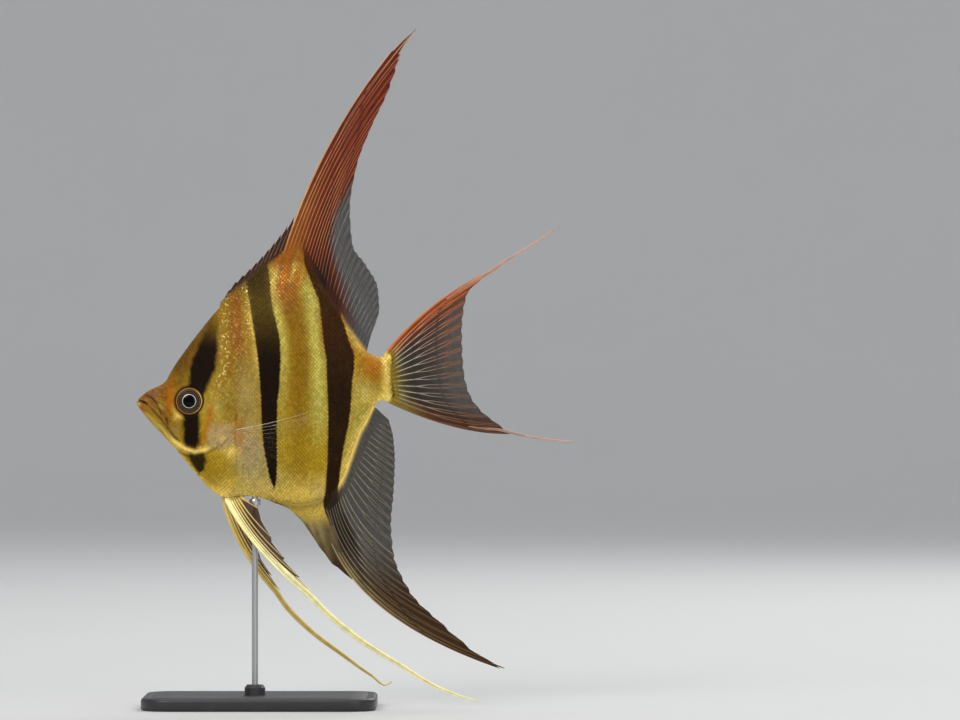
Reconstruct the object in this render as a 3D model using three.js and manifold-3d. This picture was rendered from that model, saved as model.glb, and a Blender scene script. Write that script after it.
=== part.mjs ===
// Freshwater angelfish of the tall wild kind, life size, held by a plain display stand.
// Millimetres, +Z up. The fish faces -X and its left side faces -Y. Z = 0 is the underside of the stand.
//
// The body is a thin lens: a back line and a belly line give its height at each x, and a half-width and
// two roundness powers give its thickness. Head, trunk and tail base are one such body parted by thin gaps.
// Each fin is a fan of rays: every ray is a quadratic arc from a root on the body to a tip on the margin.

import * as THREE from 'three';
import { mergeVertices } from 'three/addons/utils/BufferGeometryUtils.js';
import Module from 'manifold-3d';

const wasm = await Module();
wasm.setup();

// ---------------------------------------------------------------- driving dimensions

const GAP = 0.3;                 // clear space between neighbouring pieces
const LEFT = -1;
const RIGHT = 1;

const SNOUT_X = -105.4;          // tip of the lower jaw
const TAIL_JOIN_X = -1.0;        // plane between trunk and tail base
const HEAD_REAR_X = -56.4;       // rearmost point of the gill opening

// [x, z] along the top of the flesh, from the upper lip to the root of the tail fin
const BACK = [
  [-105.4, 147.0], [-104.2, 148.4], [-102.4, 150.3], [-98.9, 152.7], [-94.1, 154.9], [-91.2, 157.2],
  [-89.0, 161.2], [-84.5, 168.1], [-74.9, 181.0], [-65.3, 192.4], [-54.2, 202.4], [-44.5, 209.6], [-34.1, 214.3],
  [-28.8, 215.0], [-25.2, 213.2], [-22.1, 209.0], [-12.5, 195.6], [-2.9, 181.2], [1.9, 174.5],
  [5.0, 171.2], [8.0, 169.4], [12.0, 168.5], [15.4, 169.4], [18.2, 171.6],
];

// [x, z] along the underside of the flesh, from the lower lip to the root of the tail fin
const BELLY = [
  [-105.4, 145.4], [-103.7, 143.0], [-98.9, 137.0], [-89.3, 126.7], [-79.7, 115.4], [-70.1, 104.6],
  [-65.3, 101.2], [-60.5, 100.2], [-50.9, 101.2], [-41.3, 99.1], [-34.1, 97.3], [-26.9, 96.7],
  [-19.7, 97.9], [-14.9, 100.1], [-10.6, 103.4], [-7.2, 108.2], [-1.4, 123.6], [1.9, 132.2],
  [5.3, 138.0], [8.6, 144.6], [11.5, 147.1], [15.4, 147.8], [20.0, 147.5],
];

// [x, half-width] of the thickest part at each station
const HALF_WIDTH = [
  [-105.4, 1.3], [-103.0, 2.3], [-98.9, 3.7], [-91.7, 5.9], [-79.7, 8.0], [-63.0, 9.5], [-46.0, 9.2],
  [-27.0, 7.6], [-12.5, 6.1], [-3.0, 5.0], [6.7, 3.8], [14.0, 2.9], [20.0, 2.3],
];

// [x, power]: small powers make a round edge, a power near 1 makes a sharp one
const BACK_POWER = [[-105.4, 0.5], [-91.0, 0.55], [-70.0, 0.8], [-45.0, 1.1], [-10.0, 1.0], [4.0, 0.7], [20.0, 0.6]];
const BELLY_POWER = [[-105.4, 0.5], [-80.0, 0.6], [-60.0, 0.62], [-35.0, 0.8], [-10.0, 0.9], [6.0, 0.7], [20.0, 0.6]];

// [x, half-width] of the ridges that carry the fins
const BACK_RIDGE = [[-105.4, 0.5], [-95.0, 0.8], [-45.0, 0.9], [0.0, 0.8], [20.0, 0.8]];
const BELLY_RIDGE = [[-105.4, 0.5], [-95.0, 0.9], [-64.0, 2.2], [-46.0, 2.4], [-37.0, 1.1], [0.0, 0.8], [20.0, 0.8]];

const MOUTH_CORNER = [-98.7, 145.0];
const JAW_HINGE = [-90.6, 131.0];

const EYE = { x: -79.7, z: 147.1, radius: 6.9, bulge: 1.7, depth: 5.2, sunk: 0.5, sides: 18, steps: 8 };

// Shares of the gill cover's outline, as [x, z] from the middle of the plate
const GILL_COVER = {
  x: -65.2,
  z: 137.8,
  proud: 0.45,
  thick: 1.1,
  outline: [[7.8, 0.4], [6.6, 6.8], [0.8, 12.6], [-5.2, 11.0], [-6.6, 0.6], [-7.6, -9.6], [-5.4, -13.6], [2.0, -9.6]],
};

const ROD = { x: -48.5, radius: 1.5, top: 121, sides: 16 };
const COLLAR = { radius: 2.8, height: 3.0 };
const BASE = { x: -46, length: 112, width: 76, height: 6, corner: 14, bevel: 1.2 };
const BOSS = { radius: 5.0, height: 5.0 };

// ---------------------------------------------------------------- curves and body

const mix = (a, b, t) => a + (b - a) * t;

// A smooth line through [x, value] points that never overshoots them, level past its ends.
function lineThrough(points) {
  const rises = points.slice(1).map((point, i) => (point[1] - points[i][1]) / (point[0] - points[i][0]));
  const slopes = points.map((_, i) => {
    const [before, after] = [rises[i - 1] ?? rises[i], rises[i] ?? rises[i - 1]];
    return before * after > 0 ? 2 * before * after / (before + after) : 0;
  });
  return (x) => {
    let i = 0;
    while (i < points.length - 2 && x > points[i + 1][0]) {
      i += 1;
    }
    const span = points[i + 1][0] - points[i][0];
    const t = THREE.MathUtils.clamp((x - points[i][0]) / span, 0, 1);
    const blend = t * t * (3 - 2 * t);
    const leave = t * (1 - t) * (1 - t) * span * slopes[i];
    const arrive = t * t * (1 - t) * span * slopes[i + 1];
    return mix(points[i][1], points[i + 1][1], blend) + leave - arrive;
  };
}

const backZ = lineThrough(BACK);
const bellyZ = lineThrough(BELLY);
const halfWidth = lineThrough(HALF_WIDTH);
const backPower = lineThrough(BACK_POWER);
const bellyPower = lineThrough(BELLY_POWER);
const backRidge = lineThrough(BACK_RIDGE);
const bellyRidge = lineThrough(BELLY_RIDGE);

// Half the body's thickness where t runs from -1 on the belly line to 1 on the back line.
function thicknessAt(x, t) {
  const power = t > 0 ? backPower(x) : bellyPower(x);
  const ridge = t > 0 ? backRidge(x) : bellyRidge(x);
  return ridge + (halfWidth(x) - ridge) * Math.max(0, 1 - t * t) ** power;
}

// A point on the body's left or right flank.
function flank(x, t, side) {
  const z = mix(bellyZ(x), backZ(x), (t + 1) / 2);
  return new THREE.Vector3(x, side * thicknessAt(x, t), z);
}

// Half the body's thickness at a place in side view.
function thicknessOver(x, z) {
  return thicknessAt(x, 2 * (z - bellyZ(x)) / (backZ(x) - bellyZ(x)) - 1);
}

// ---------------------------------------------------------------- building closed shapes

// Turns every face outward, judged by the sign of the enclosed volume.
function facingOut(geometry) {
  const position = geometry.getAttribute('position');
  const index = geometry.getIndex().array;
  const [a, b, c] = [new THREE.Vector3(), new THREE.Vector3(), new THREE.Vector3()];
  let volume = 0;
  for (let i = 0; i < index.length; i += 3) {
    a.fromBufferAttribute(position, index[i]);
    b.fromBufferAttribute(position, index[i + 1]);
    c.fromBufferAttribute(position, index[i + 2]);
    volume += a.dot(b.cross(c));
  }
  if (volume < 0) {
    index.reverse();
  }
  return geometry;
}

// Keeps only places and merged corners, so that a shape is one closed skin.
function closed(geometry) {
  geometry.deleteAttribute('normal');
  geometry.deleteAttribute('uv');
  return facingOut(mergeVertices(geometry, 1e-4));
}

// A closed slab between two grids of points, with a rim round their edge.
function slab(columns, rows, leftPoint, rightPoint) {
  const points = [];
  for (const face of [leftPoint, rightPoint]) {
    for (let i = 0; i <= columns; i += 1) {
      for (let j = 0; j <= rows; j += 1) {
        points.push(face(i / columns, j / rows));
      }
    }
  }
  const count = (columns + 1) * (rows + 1);
  const at = (i, j) => i * (rows + 1) + j;
  const faces = [];
  const quad = (a, b, c, d) => faces.push(a, b, c, a, c, d);
  for (let i = 0; i < columns; i += 1) {
    for (let j = 0; j < rows; j += 1) {
      const corners = [at(i, j), at(i + 1, j), at(i + 1, j + 1), at(i, j + 1)];
      quad(...corners);
      quad(...corners.map((corner) => corner + count).reverse());
    }
  }
  const edge = [];
  for (let i = 0; i < columns; i += 1) {
    edge.push(at(i, 0));
  }
  for (let j = 0; j < rows; j += 1) {
    edge.push(at(columns, j));
  }
  for (let i = columns; i > 0; i -= 1) {
    edge.push(at(i, rows));
  }
  for (let j = rows; j > 0; j -= 1) {
    edge.push(at(0, j));
  }
  edge.forEach((corner, k) => {
    const next = edge[(k + 1) % edge.length];
    quad(next, corner, corner + count, next + count);
  });
  const geometry = new THREE.BufferGeometry().setFromPoints(points);
  geometry.setIndex(faces);
  return facingOut(geometry);
}

function toSolid(geometry) {
  const vertProperties = new Float32Array(geometry.getAttribute('position').array);
  const triVerts = new Uint32Array(geometry.getIndex().array);
  return new wasm.Manifold(new wasm.Mesh({ numProp: 3, vertProperties, triVerts }));
}

function fromSolid(solid) {
  const mesh = solid.getMesh();
  const geometry = new THREE.BufferGeometry();
  geometry.setAttribute('position', new THREE.BufferAttribute(new Float32Array(mesh.vertProperties), 3));
  geometry.setIndex(Array.from(mesh.triVerts));
  return geometry;
}

// A prism across the whole body, from an outline in side view.
function prism(outline, halfDepth) {
  const shape = new THREE.Shape(outline.map(([x, z]) => new THREE.Vector2(x, z)));
  const geometry = new THREE.ExtrudeGeometry(shape, { depth: 2 * halfDepth, bevelEnabled: false });
  geometry.rotateX(Math.PI / 2);
  geometry.translate(0, halfDepth, 0);
  return closed(geometry);
}

// ---------------------------------------------------------------- head, trunk and tail base

// One length of the body, between a front and a rear edge given as x for each height share t.
function bodyLength({ frontX, rearX, columns, rows, crowd = 1 }) {
  const point = (side) => (s, r) => {
    const t = -Math.cos(Math.PI * r);
    return flank(mix(frontX(t), rearX(t), s ** crowd), t, side);
  };
  return slab(columns, rows, point(LEFT), point(RIGHT));
}

// The gill opening: furthest back at mid height, swept forward to the nape and the throat.
const headRearX = (t) => HEAD_REAR_X - (t > 0 ? 10.5 : 16.0) * t * t;
const trunkFrontX = (t) => headRearX(t) + GAP;
const tailRearX = (t) => 16.0 + (t > 0 ? 1.5 : 3.6) * t * t;

function jawOutline(grown) {
  const [cornerX, cornerZ] = MOUTH_CORNER;
  const [hingeX, hingeZ] = JAW_HINGE;
  return [
    [SNOUT_X - 2, cornerZ + 2.3 + 1.4 * grown],
    [cornerX + 0.6 * grown, cornerZ + grown],
    [-95.4 + 0.9 * grown, 141.0 + 0.5 * grown],
    [-92.3 + 0.9 * grown, 136.4 + 0.4 * grown],
    [hingeX + grown, hingeZ],
    [hingeX + grown, 120],
    [SNOUT_X - 2, 120],
  ];
}

// The eyeball: a shallow dome outside, a deep bowl inside, turned about the Y axis.
function eyeball(side, grown) {
  const rim = EYE.radius + grown;
  const seat = thicknessOver(EYE.x, EYE.z) - EYE.sunk;
  const profile = [];
  for (let i = 0; i <= EYE.steps; i += 1) {
    const angle = Math.PI * (i / EYE.steps - 0.5);
    const rise = Math.sin(angle) > 0 ? EYE.bulge : EYE.depth;
    const onAxis = i === 0 || i === EYE.steps;
    profile.push(new THREE.Vector2(onAxis ? 0 : rim * Math.cos(angle), (rise + grown) * Math.sin(angle)));
  }
  const geometry = closed(new THREE.LatheGeometry(profile, EYE.sides));
  if (side === LEFT) {
    geometry.rotateX(Math.PI);
  }
  geometry.translate(EYE.x, side * seat, EYE.z);
  return geometry;
}

// The gill cover, a shallow plate on the flank. Its grid is a square drawn out to the rounded outline.
function gillPlate(side, { grown, above, below }) {
  const outline = new THREE.CatmullRomCurve3(
    GILL_COVER.outline.map(([x, z]) => new THREE.Vector3(x, 0, z)),
    true,
  );
  const face = (rise, edgeRise) => (p, q) => {
    const a = 2 * p - 1;
    const b = 2 * q - 1;
    const u = a * Math.sqrt(1 - b * b / 2);
    const v = b * Math.sqrt(1 - a * a / 2);
    const reach = Math.hypot(u, v);
    const turn = (Math.atan2(v, u) / (2 * Math.PI) + 1) % 1;
    const rimPoint = outline.getPoint(turn);
    const scale = reach * (1 + grown / rimPoint.length());
    const x = GILL_COVER.x + rimPoint.x * scale;
    const z = GILL_COVER.z + rimPoint.z * scale;
    const lift = mix(rise, edgeRise, reach ** 4);
    return new THREE.Vector3(x, side * (thicknessOver(x, z) + lift), z);
  };
  return slab(7, 7, face(above[0], above[1]), face(-below, -below));
}

const gillCover = (side) => gillPlate(side, {
  grown: 0, above: [GILL_COVER.proud, 0.05], below: GILL_COVER.thick,
});
const gillPocket = (side) => gillPlate(side, {
  grown: GAP, above: [4, 4], below: GILL_COVER.thick + GAP,
});

function headSolid() {
  return toSolid(bodyLength({
    frontX: () => SNOUT_X, rearX: headRearX, columns: 14, rows: 15, crowd: 1.15,
  }));
}

function headGeometry() {
  let head = headSolid().subtract(toSolid(prism(jawOutline(GAP), 12)));
  for (const side of [LEFT, RIGHT]) {
    head = head.subtract(toSolid(eyeball(side, GAP)));
    head = head.subtract(toSolid(gillPocket(side)));
  }
  return fromSolid(head);
}

const lowerJawGeometry = () => fromSolid(headSolid().intersect(toSolid(prism(jawOutline(0), 12))));

function rodGeometry(grown) {
  const foot = BASE.height;
  const radius = ROD.radius + grown;
  const geometry = new THREE.CylinderGeometry(radius, radius, ROD.top + grown - foot, ROD.sides);
  geometry.rotateX(Math.PI / 2);
  geometry.translate(ROD.x, 0, (ROD.top + grown + foot) / 2);
  return closed(geometry);
}

function trunkGeometry() {
  const trunk = bodyLength({ frontX: trunkFrontX, rearX: () => TAIL_JOIN_X, columns: 18, rows: 12 });
  return fromSolid(toSolid(trunk).subtract(toSolid(rodGeometry(GAP))));
}

const tailBaseGeometry = () => bodyLength({
  frontX: () => TAIL_JOIN_X + GAP, rearX: tailRearX, columns: 8, rows: 10,
});

// ---------------------------------------------------------------- fins

// A line just clear of the flesh for a fin to stand on, read by its share of length.
function rootAlong(lineZ, fromX, toX, side) {
  const samples = [];
  for (let i = 0; i <= 48; i += 1) {
    const x = mix(fromX, toX, i / 48);
    samples.push(new THREE.Vector2(x, lineZ(x)));
  }
  const line = new THREE.SplineCurve(samples);
  const clear = side * (GAP + 0.12);
  return (u) => {
    const tangent = line.getTangentAt(u);
    return line.getPointAt(u).add(new THREE.Vector2(-tangent.y, tangent.x).multiplyScalar(clear));
  };
}

const straightRoot = (from, to) => (u) => new THREE.Vector2(mix(from[0], to[0], u), mix(from[1], to[1], u));

// The root of the tail fin follows the rounded rear edge of the tail base.
function caudalRoot(u) {
  const t = 1 - 2 * u;
  const x = tailRearX(t);
  return new THREE.Vector2(x + GAP, mix(bellyZ(x), backZ(x), (t + 1) / 2));
}

// A fan of rays. Each leading ray is [share of the root, tip x, tip z, bow, lean]: bow pushes the middle
// of the arc sideways and lean pushes it along, both as shares of the ray's length.
function rayFan(root, leadingRays) {
  const column = (k) => lineThrough(leadingRays.map((ray) => [ray[0], ray[k] ?? 0]));
  const [tipX, tipZ, bow, lean] = [1, 2, 3, 4].map(column);
  return (u, v) => {
    const start = root(u);
    const end = new THREE.Vector2(tipX(u), tipZ(u));
    const along = end.clone().sub(start);
    const across = new THREE.Vector2(-along.y, along.x);
    const middle = start.clone().add(end).multiplyScalar(0.5);
    middle.addScaledVector(across, bow(u)).addScaledVector(along, lean(u));
    return new THREE.QuadraticBezierCurve(start, middle, end).getPoint(v);
  };
}

// A fin blade: the part of a fan between two shares of its root, thin at the tip. Its middle sheet
// stands at sway(point, v) in Y. Notched blades draw the web back between the spines.
function blade(fan, { from = 0, to = 1, columns, rows, rootThick, tipThick, sway = () => 0, notch = 0 }) {
  const face = (side) => (s, r) => {
    const web = Math.round(s * columns) % 2 ? 1 - notch : 1;
    const point = fan(mix(from, to, s), r * web);
    const half = mix(rootThick, tipThick, Math.sqrt(r)) / 2;
    return new THREE.Vector3(point.x, sway(point, r) + side * half, point.y);
  };
  return slab(columns, rows, face(LEFT), face(RIGHT));
}

// A long tapering filament along a curve of [x, y, z] points.
function filament({ points, width, tipWidth, thick, tipThick, steps }) {
  const path = new THREE.CatmullRomCurve3(points.map((point) => new THREE.Vector3(...point)), false, 'centripetal');
  const face = (side) => (s, r) => {
    const centre = path.getPointAt(s);
    const tangent = path.getTangentAt(s);
    const across = new THREE.Vector3(-tangent.z, 0, tangent.x).normalize();
    const reach = (r - 0.5) * mix(width, tipWidth, s);
    const half = mix(thick, tipThick, s) / 2 * (Math.abs(r - 0.5) > 0.4 ? 0.55 : 1);
    return centre.addScaledVector(across, reach).add(new THREE.Vector3(0, side * half, 0));
  };
  return slab(steps, 2, face(LEFT), face(RIGHT));
}

const SPINY_DORSAL = rayFan(rootAlong(backZ, -66.0, -37.2, 1), [
  [0, -64.6, 195.0, 0], [0.14, -59.0, 202.9, 0.02], [0.35, -50.2, 211.2, 0.03], [0.56, -42.6, 219.2, 0.03],
  [0.76, -36.2, 228.0, 0.03], [1, -27.8, 240.6, 0.0],
]);

const SOFT_DORSAL = rayFan(rootAlong(backZ, -36.6, 4.6, 1), [
  [0, 17.8, 316.8, 0.1], [0.053, 29.0, 326.2, 0.105], [0.106, 22.0, 313.0, 0.105], [0.18, 15.5, 296.0, 0.1], [0.28, 7.5, 279.0, 0.09],
  [0.38, 0.4, 260.0, 0.09], [0.48, -2.8, 240.0, 0.08], [0.58, -1.6, 222.5, 0.06], [0.7, 4.5, 213.0, 0.05],
  [0.84, 10.5, 201.5, 0.05], [0.94, 11.2, 191.0, 0.05], [1, 9.2, 184.0, 0.05],
]);

const SPINY_ANAL = rayFan(rootAlong(bellyZ, -43.6, -16.9, -1), [
  [0, -38.0, 97.9, 0], [0.2, -30.8, 94.8, 0], [0.42, -24.6, 87.8, -0.03], [0.62, -18.8, 78.9, -0.04],
  [0.8, -12.9, 70.6, -0.04], [1, -5.8, 63.6, -0.02],
]);

const SOFT_ANAL = rayFan(rootAlong(bellyZ, -16.3, 8.2, -1), [
  [0, 58.4, 18.8, -0.26, -0.1], [0.029, 71.5, 19.0, -0.27, -0.13], [0.057, 59.6, 25.4, -0.27, -0.13],
  [0.1, 43.5, 38.6, -0.27, -0.12],
  [0.17, 27.0, 54.5, -0.25, -0.08], [0.26, 18.4, 73.0, -0.17, -0.04], [0.38, 17.0, 88.0, -0.09],
  [0.53, 18.2, 103.0, -0.05], [0.72, 18.8, 118.5, -0.04], [0.88, 18.0, 129.5, -0.03], [1, 15.8, 138.0, 0],
]);

const CAUDAL = rayFan(caudalRoot, [
  [0, 60.6, 207.8, 0.11], [0.06, 60.0, 205.6, 0.1], [0.14, 54.0, 199.6, 0.08], [0.24, 51.9, 191.6, 0.05],
  [0.36, 51.0, 181.6, 0.03], [0.48, 51.2, 171.0, 0.01], [0.6, 52.0, 160.6, -0.02], [0.72, 54.6, 150.6, -0.06],
  [0.83, 60.5, 142.2, -0.09, 0.02], [0.92, 67.6, 136.6, -0.11, 0.05], [1, 74.4, 131.4, -0.12, 0.08],
]);

// Pelvic fins: [share, tip x, tip z, bow, lean]. The first ray goes on as the long filament.
const PELVIC_SPLAY = 0.15;       // sideways reach for each millimetre away from the root
const PELVIC_ROOT_Y = 2.4;
const PELVIC = {
  left: {
    side: LEFT,
    root: straightRoot([-62.6, 99.7], [-55.4, 100.2]),
    rays: [
      [0, -12.4, 42.6, -0.115, -0.08], [0.24, -10.8, 44.8, -0.12, -0.08], [0.42, -22.6, 58.4, -0.12, -0.06],
      [0.58, -30.4, 67.2, -0.1, -0.04], [0.72, -36.4, 75.2, -0.09], [0.86, -41.6, 84.0, -0.07], [1, -47.0, 95.8, -0.03],
    ],
    trail: [[-11.2, 43.4], [1.9, 33.5], [21.1, 21.5], [40.3, 10.4], [50.0, 6.7], [59.5, 3.9]],
    width: 2.7,
  },
  right: {
    side: RIGHT,
    root: straightRoot([-63.8, 100.0], [-56.6, 99.9]),
    rays: [
      [0, -32.7, 44.9, -0.15, -0.09], [0.24, -30.8, 46.7, -0.14, -0.09], [0.42, -38.2, 58.8, -0.12, -0.06],
      [0.58, -43.4, 67.4, -0.1, -0.04], [0.72, -48.8, 77.6, -0.08], [0.86, -52.6, 86.5, -0.06], [1, -55.6, 95.0, -0.02],
    ],
    trail: [[-31.4, 45.4], [-22.1, 36.2], [-7.7, 25.2], [6.7, 14.7], [14.6, 9.8], [17.4, 12.0]],
    width: 2.6,
  },
};

const pelvicSway = (side, root) => (point) => {
  const away = Math.hypot(point.x - root.x, point.y - root.y);
  return side * (PELVIC_ROOT_Y + PELVIC_SPLAY * away);
};

function pelvicBlade({ side, root, rays }) {
  return blade(rayFan(root, rays), {
    columns: 9, rows: 7, rootThick: 1.0, tipThick: 0.6, sway: pelvicSway(side, root(0)),
  });
}

function pelvicFilament({ side, root, trail, width }) {
  const sway = pelvicSway(side, root(0));
  return filament({
    points: trail.map(([x, z]) => [x, sway(new THREE.Vector2(x, z)), z]),
    width, tipWidth: 0.9, thick: 1.0, tipThick: 0.6, steps: 12,
  });
}

// Pectoral fins stand off the flank just behind the gill cover.
const PECTORAL_ROOT = straightRoot([-56.6, 133.4], [-55.6, 125.2]);
const PECTORAL = rayFan(PECTORAL_ROOT, [
  [0, -19.8, 142.8, -0.04], [0.2, -22.6, 136.4, -0.02], [0.45, -29.6, 127.8, 0], [0.7, -37.4, 120.4, -0.02],
  [0.9, -44.4, 116.6, -0.04], [1, -47.6, 117.4, -0.05],
]);

function pectoralBlade(side) {
  const sway = (point) => {
    const away = Math.max(0, point.x - PECTORAL_ROOT(0).x);
    return side * (halfWidth(PECTORAL_ROOT(0).x) + 0.5 + 0.24 * away);
  };
  return blade(PECTORAL, { columns: 9, rows: 5, rootThick: 0.9, tipThick: 0.5, sway });
}

// Long fins drift a little out of the middle plane towards their tips.
const drift = (start, perMm) => ({ x, y }) => perMm * Math.max(0, Math.hypot(x - start[0], y - start[1]) - 30);
const dorsalDrift = drift([-20, 205], 0.035);
const analDrift = drift([-8, 108], -0.03);
const caudalDrift = drift([18, 160], 0.03);

const caudalTrail = (points) => points.map(([x, z]) => [x, caudalDrift({ x, y: z }), z]);

// ---------------------------------------------------------------- stand

// A ring about the rod, from z = low to z = high.
function ring(radius, low, high) {
  const bore = ROD.radius + GAP;
  const outline = [[bore, low], [radius, low], [radius, mix(low, high, 0.7)], [mix(radius, bore, 0.35), high], [bore, high]];
  const profile = [...outline, outline[0]].map(([r, z]) => new THREE.Vector2(r, z));
  const geometry = new THREE.LatheGeometry(profile, 16);
  geometry.rotateX(Math.PI / 2);
  geometry.translate(ROD.x, 0, 0);
  return closed(geometry);
}

function baseGeometry() {
  const x = BASE.length / 2 - BASE.bevel;
  const y = BASE.width / 2 - BASE.bevel;
  const r = BASE.corner;
  const shape = new THREE.Shape();
  shape.moveTo(r - x, -y);
  shape.lineTo(x - r, -y);
  shape.absarc(x - r, r - y, r, -Math.PI / 2, 0);
  shape.absarc(x - r, y - r, r, 0, Math.PI / 2);
  shape.absarc(r - x, y - r, r, Math.PI / 2, Math.PI);
  shape.absarc(r - x, r - y, r, Math.PI, 1.5 * Math.PI);
  const geometry = new THREE.ExtrudeGeometry(shape, {
    depth: BASE.height - 2 * BASE.bevel,
    bevelThickness: BASE.bevel,
    bevelSize: BASE.bevel,
    bevelSegments: 1,
    curveSegments: 5,
  });
  geometry.translate(BASE.x, 0, BASE.bevel);
  return closed(geometry);
}

// ---------------------------------------------------------------- materials

const paint = (color, roughness, metalness = 0) => new THREE.MeshStandardMaterial({ color, roughness, metalness });

const flesh = () => paint(0xa8842c, 0.45);
const gillSilver = () => paint(0xb49a58, 0.35);
const eyeDark = () => paint(0x141009, 0.1);
const redFin = () => paint(0x7a2c14, 0.5);
const smokyFin = () => paint(0x4a3524, 0.5);
const paleFin = () => paint(0xe8d878, 0.45);
const clearFin = () => paint(0xb0a68c, 0.4);
const blackSteel = () => paint(0x17181a, 0.45, 0.6);
const brightSteel = () => paint(0x8c8f92, 0.3, 1);

// ---------------------------------------------------------------- the whole model

const angelfish = new THREE.Group();

function add(name, geometry, material) {
  const mesh = new THREE.Mesh(geometry, material);
  mesh.name = name;
  angelfish.add(mesh);
}

add('head', headGeometry(), flesh());
add('lower_jaw', lowerJawGeometry(), flesh());
add('trunk', trunkGeometry(), flesh());
add('tail_base', tailBaseGeometry(), flesh());

for (const [word, side] of [['left', LEFT], ['right', RIGHT]]) {
  add(`eye_${word}`, eyeball(side, 0), eyeDark());
  add(`gill_cover_${word}`, gillCover(side), gillSilver());
  add(`pectoral_fin_${word}`, pectoralBlade(side), clearFin());
  add(`pelvic_fin_${word}`, pelvicBlade(PELVIC[word]), paleFin());
  add(`pelvic_filament_${word}`, pelvicFilament(PELVIC[word]), paleFin());
}

add('dorsal_fin_spines', blade(SPINY_DORSAL, {
  columns: 24, rows: 2, rootThick: 1.5, tipThick: 0.6, notch: 0.16,
}), redFin());
add('dorsal_fin_lobe', blade(SOFT_DORSAL, {
  to: 0.477, columns: 9, rows: 13, rootThick: 1.5, tipThick: 0.55, sway: dorsalDrift,
}), redFin());
add('dorsal_fin_rear', blade(SOFT_DORSAL, {
  from: 0.483, columns: 9, rows: 6, rootThick: 1.4, tipThick: 0.55, sway: dorsalDrift,
}), smokyFin());

add('anal_fin_spines', blade(SPINY_ANAL, {
  columns: 10, rows: 5, rootThick: 1.6, tipThick: 0.9, notch: 0.03,
}), smokyFin());
add('anal_fin_lobe', blade(SOFT_ANAL, {
  to: 0.257, columns: 9, rows: 14, rootThick: 1.4, tipThick: 0.55, sway: analDrift,
}), smokyFin());
add('anal_fin_rear', blade(SOFT_ANAL, {
  from: 0.264, columns: 9, rows: 6, rootThick: 1.3, tipThick: 0.55, sway: analDrift,
}), smokyFin());

add('caudal_fin', blade(CAUDAL, {
  columns: 20, rows: 6, rootThick: 1.5, tipThick: 0.6, sway: caudalDrift,
}), redFin());
add('caudal_filament_upper', filament({
  points: caudalTrail([[61.5, 206.9], [64.8, 209.4], [73.5, 215.3], [88.0, 224.2], [97.9, 231.4]]),
  width: 2.1, tipWidth: 0.8, thick: 0.7, tipThick: 0.6, steps: 9,
}), redFin());
add('caudal_filament_lower', filament({
  points: caudalTrail([[74.9, 131.9], [79.5, 130.6], [88.3, 129.0], [97.0, 128.1], [105.4, 127.8]]),
  width: 1.7, tipWidth: 0.8, thick: 0.7, tipThick: 0.6, steps: 8,
}), redFin());

const collarTop = bellyZ(ROD.x) - 0.9;
add('stand_base', baseGeometry(), blackSteel());
add('stand_boss', ring(BOSS.radius, BASE.height, BASE.height + BOSS.height), blackSteel());
add('stand_rod', rodGeometry(0), brightSteel());
add('stand_collar', ring(COLLAR.radius, collarTop - COLLAR.height, collarTop), brightSteel());

export default angelfish;
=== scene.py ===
"""Looks of the life-size freshwater angelfish: skin, scales, eyes, rayed fins and the display stand.

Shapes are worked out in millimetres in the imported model's frame (+X to the tail, +Z up, left side at -Y)
and are put into the meshes in metres.
"""

import math
from collections import namedtuple
from functools import partial

import bpy
import numpy as np
from bpy.props import FloatProperty, FloatVectorProperty, IntProperty, PointerProperty
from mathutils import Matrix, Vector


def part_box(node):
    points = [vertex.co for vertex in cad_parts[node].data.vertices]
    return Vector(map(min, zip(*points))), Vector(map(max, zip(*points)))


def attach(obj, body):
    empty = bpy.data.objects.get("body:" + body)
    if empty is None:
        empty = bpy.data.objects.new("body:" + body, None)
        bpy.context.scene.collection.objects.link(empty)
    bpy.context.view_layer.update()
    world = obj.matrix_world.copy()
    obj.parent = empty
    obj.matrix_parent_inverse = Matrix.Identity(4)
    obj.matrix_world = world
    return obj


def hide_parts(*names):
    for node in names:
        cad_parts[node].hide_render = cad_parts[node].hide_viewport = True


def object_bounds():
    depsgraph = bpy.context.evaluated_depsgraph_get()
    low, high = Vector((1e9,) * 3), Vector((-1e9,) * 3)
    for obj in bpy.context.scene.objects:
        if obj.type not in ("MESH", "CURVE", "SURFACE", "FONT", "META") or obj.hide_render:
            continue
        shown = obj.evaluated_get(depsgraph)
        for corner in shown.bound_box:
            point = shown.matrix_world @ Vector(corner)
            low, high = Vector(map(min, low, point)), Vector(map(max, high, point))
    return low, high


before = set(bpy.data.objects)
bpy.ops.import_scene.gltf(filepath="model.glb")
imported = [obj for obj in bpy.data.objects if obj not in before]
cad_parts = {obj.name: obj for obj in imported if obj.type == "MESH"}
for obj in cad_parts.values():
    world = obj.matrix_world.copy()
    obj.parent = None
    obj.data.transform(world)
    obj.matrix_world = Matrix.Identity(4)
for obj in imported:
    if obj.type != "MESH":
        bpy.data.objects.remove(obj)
CAD_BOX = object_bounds()

bl_info = {
    "name": "Freshwater Angelfish",
    "version": (1, 0, 0),
    "blender": (4, 5, 0),
    "location": "View3D > Sidebar > Angelfish",
    "description": "A still, life-size freshwater angelfish on a display stand",
    "category": "Add Mesh",
}

MM = 0.001
LEFT, RIGHT = -1, 1
SIDES = (("left", LEFT), ("right", RIGHT))

# ---------- body outline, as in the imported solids

SNOUT_X = -105.4
TAIL_X = 18.2
GILL_X = -56.4

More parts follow.
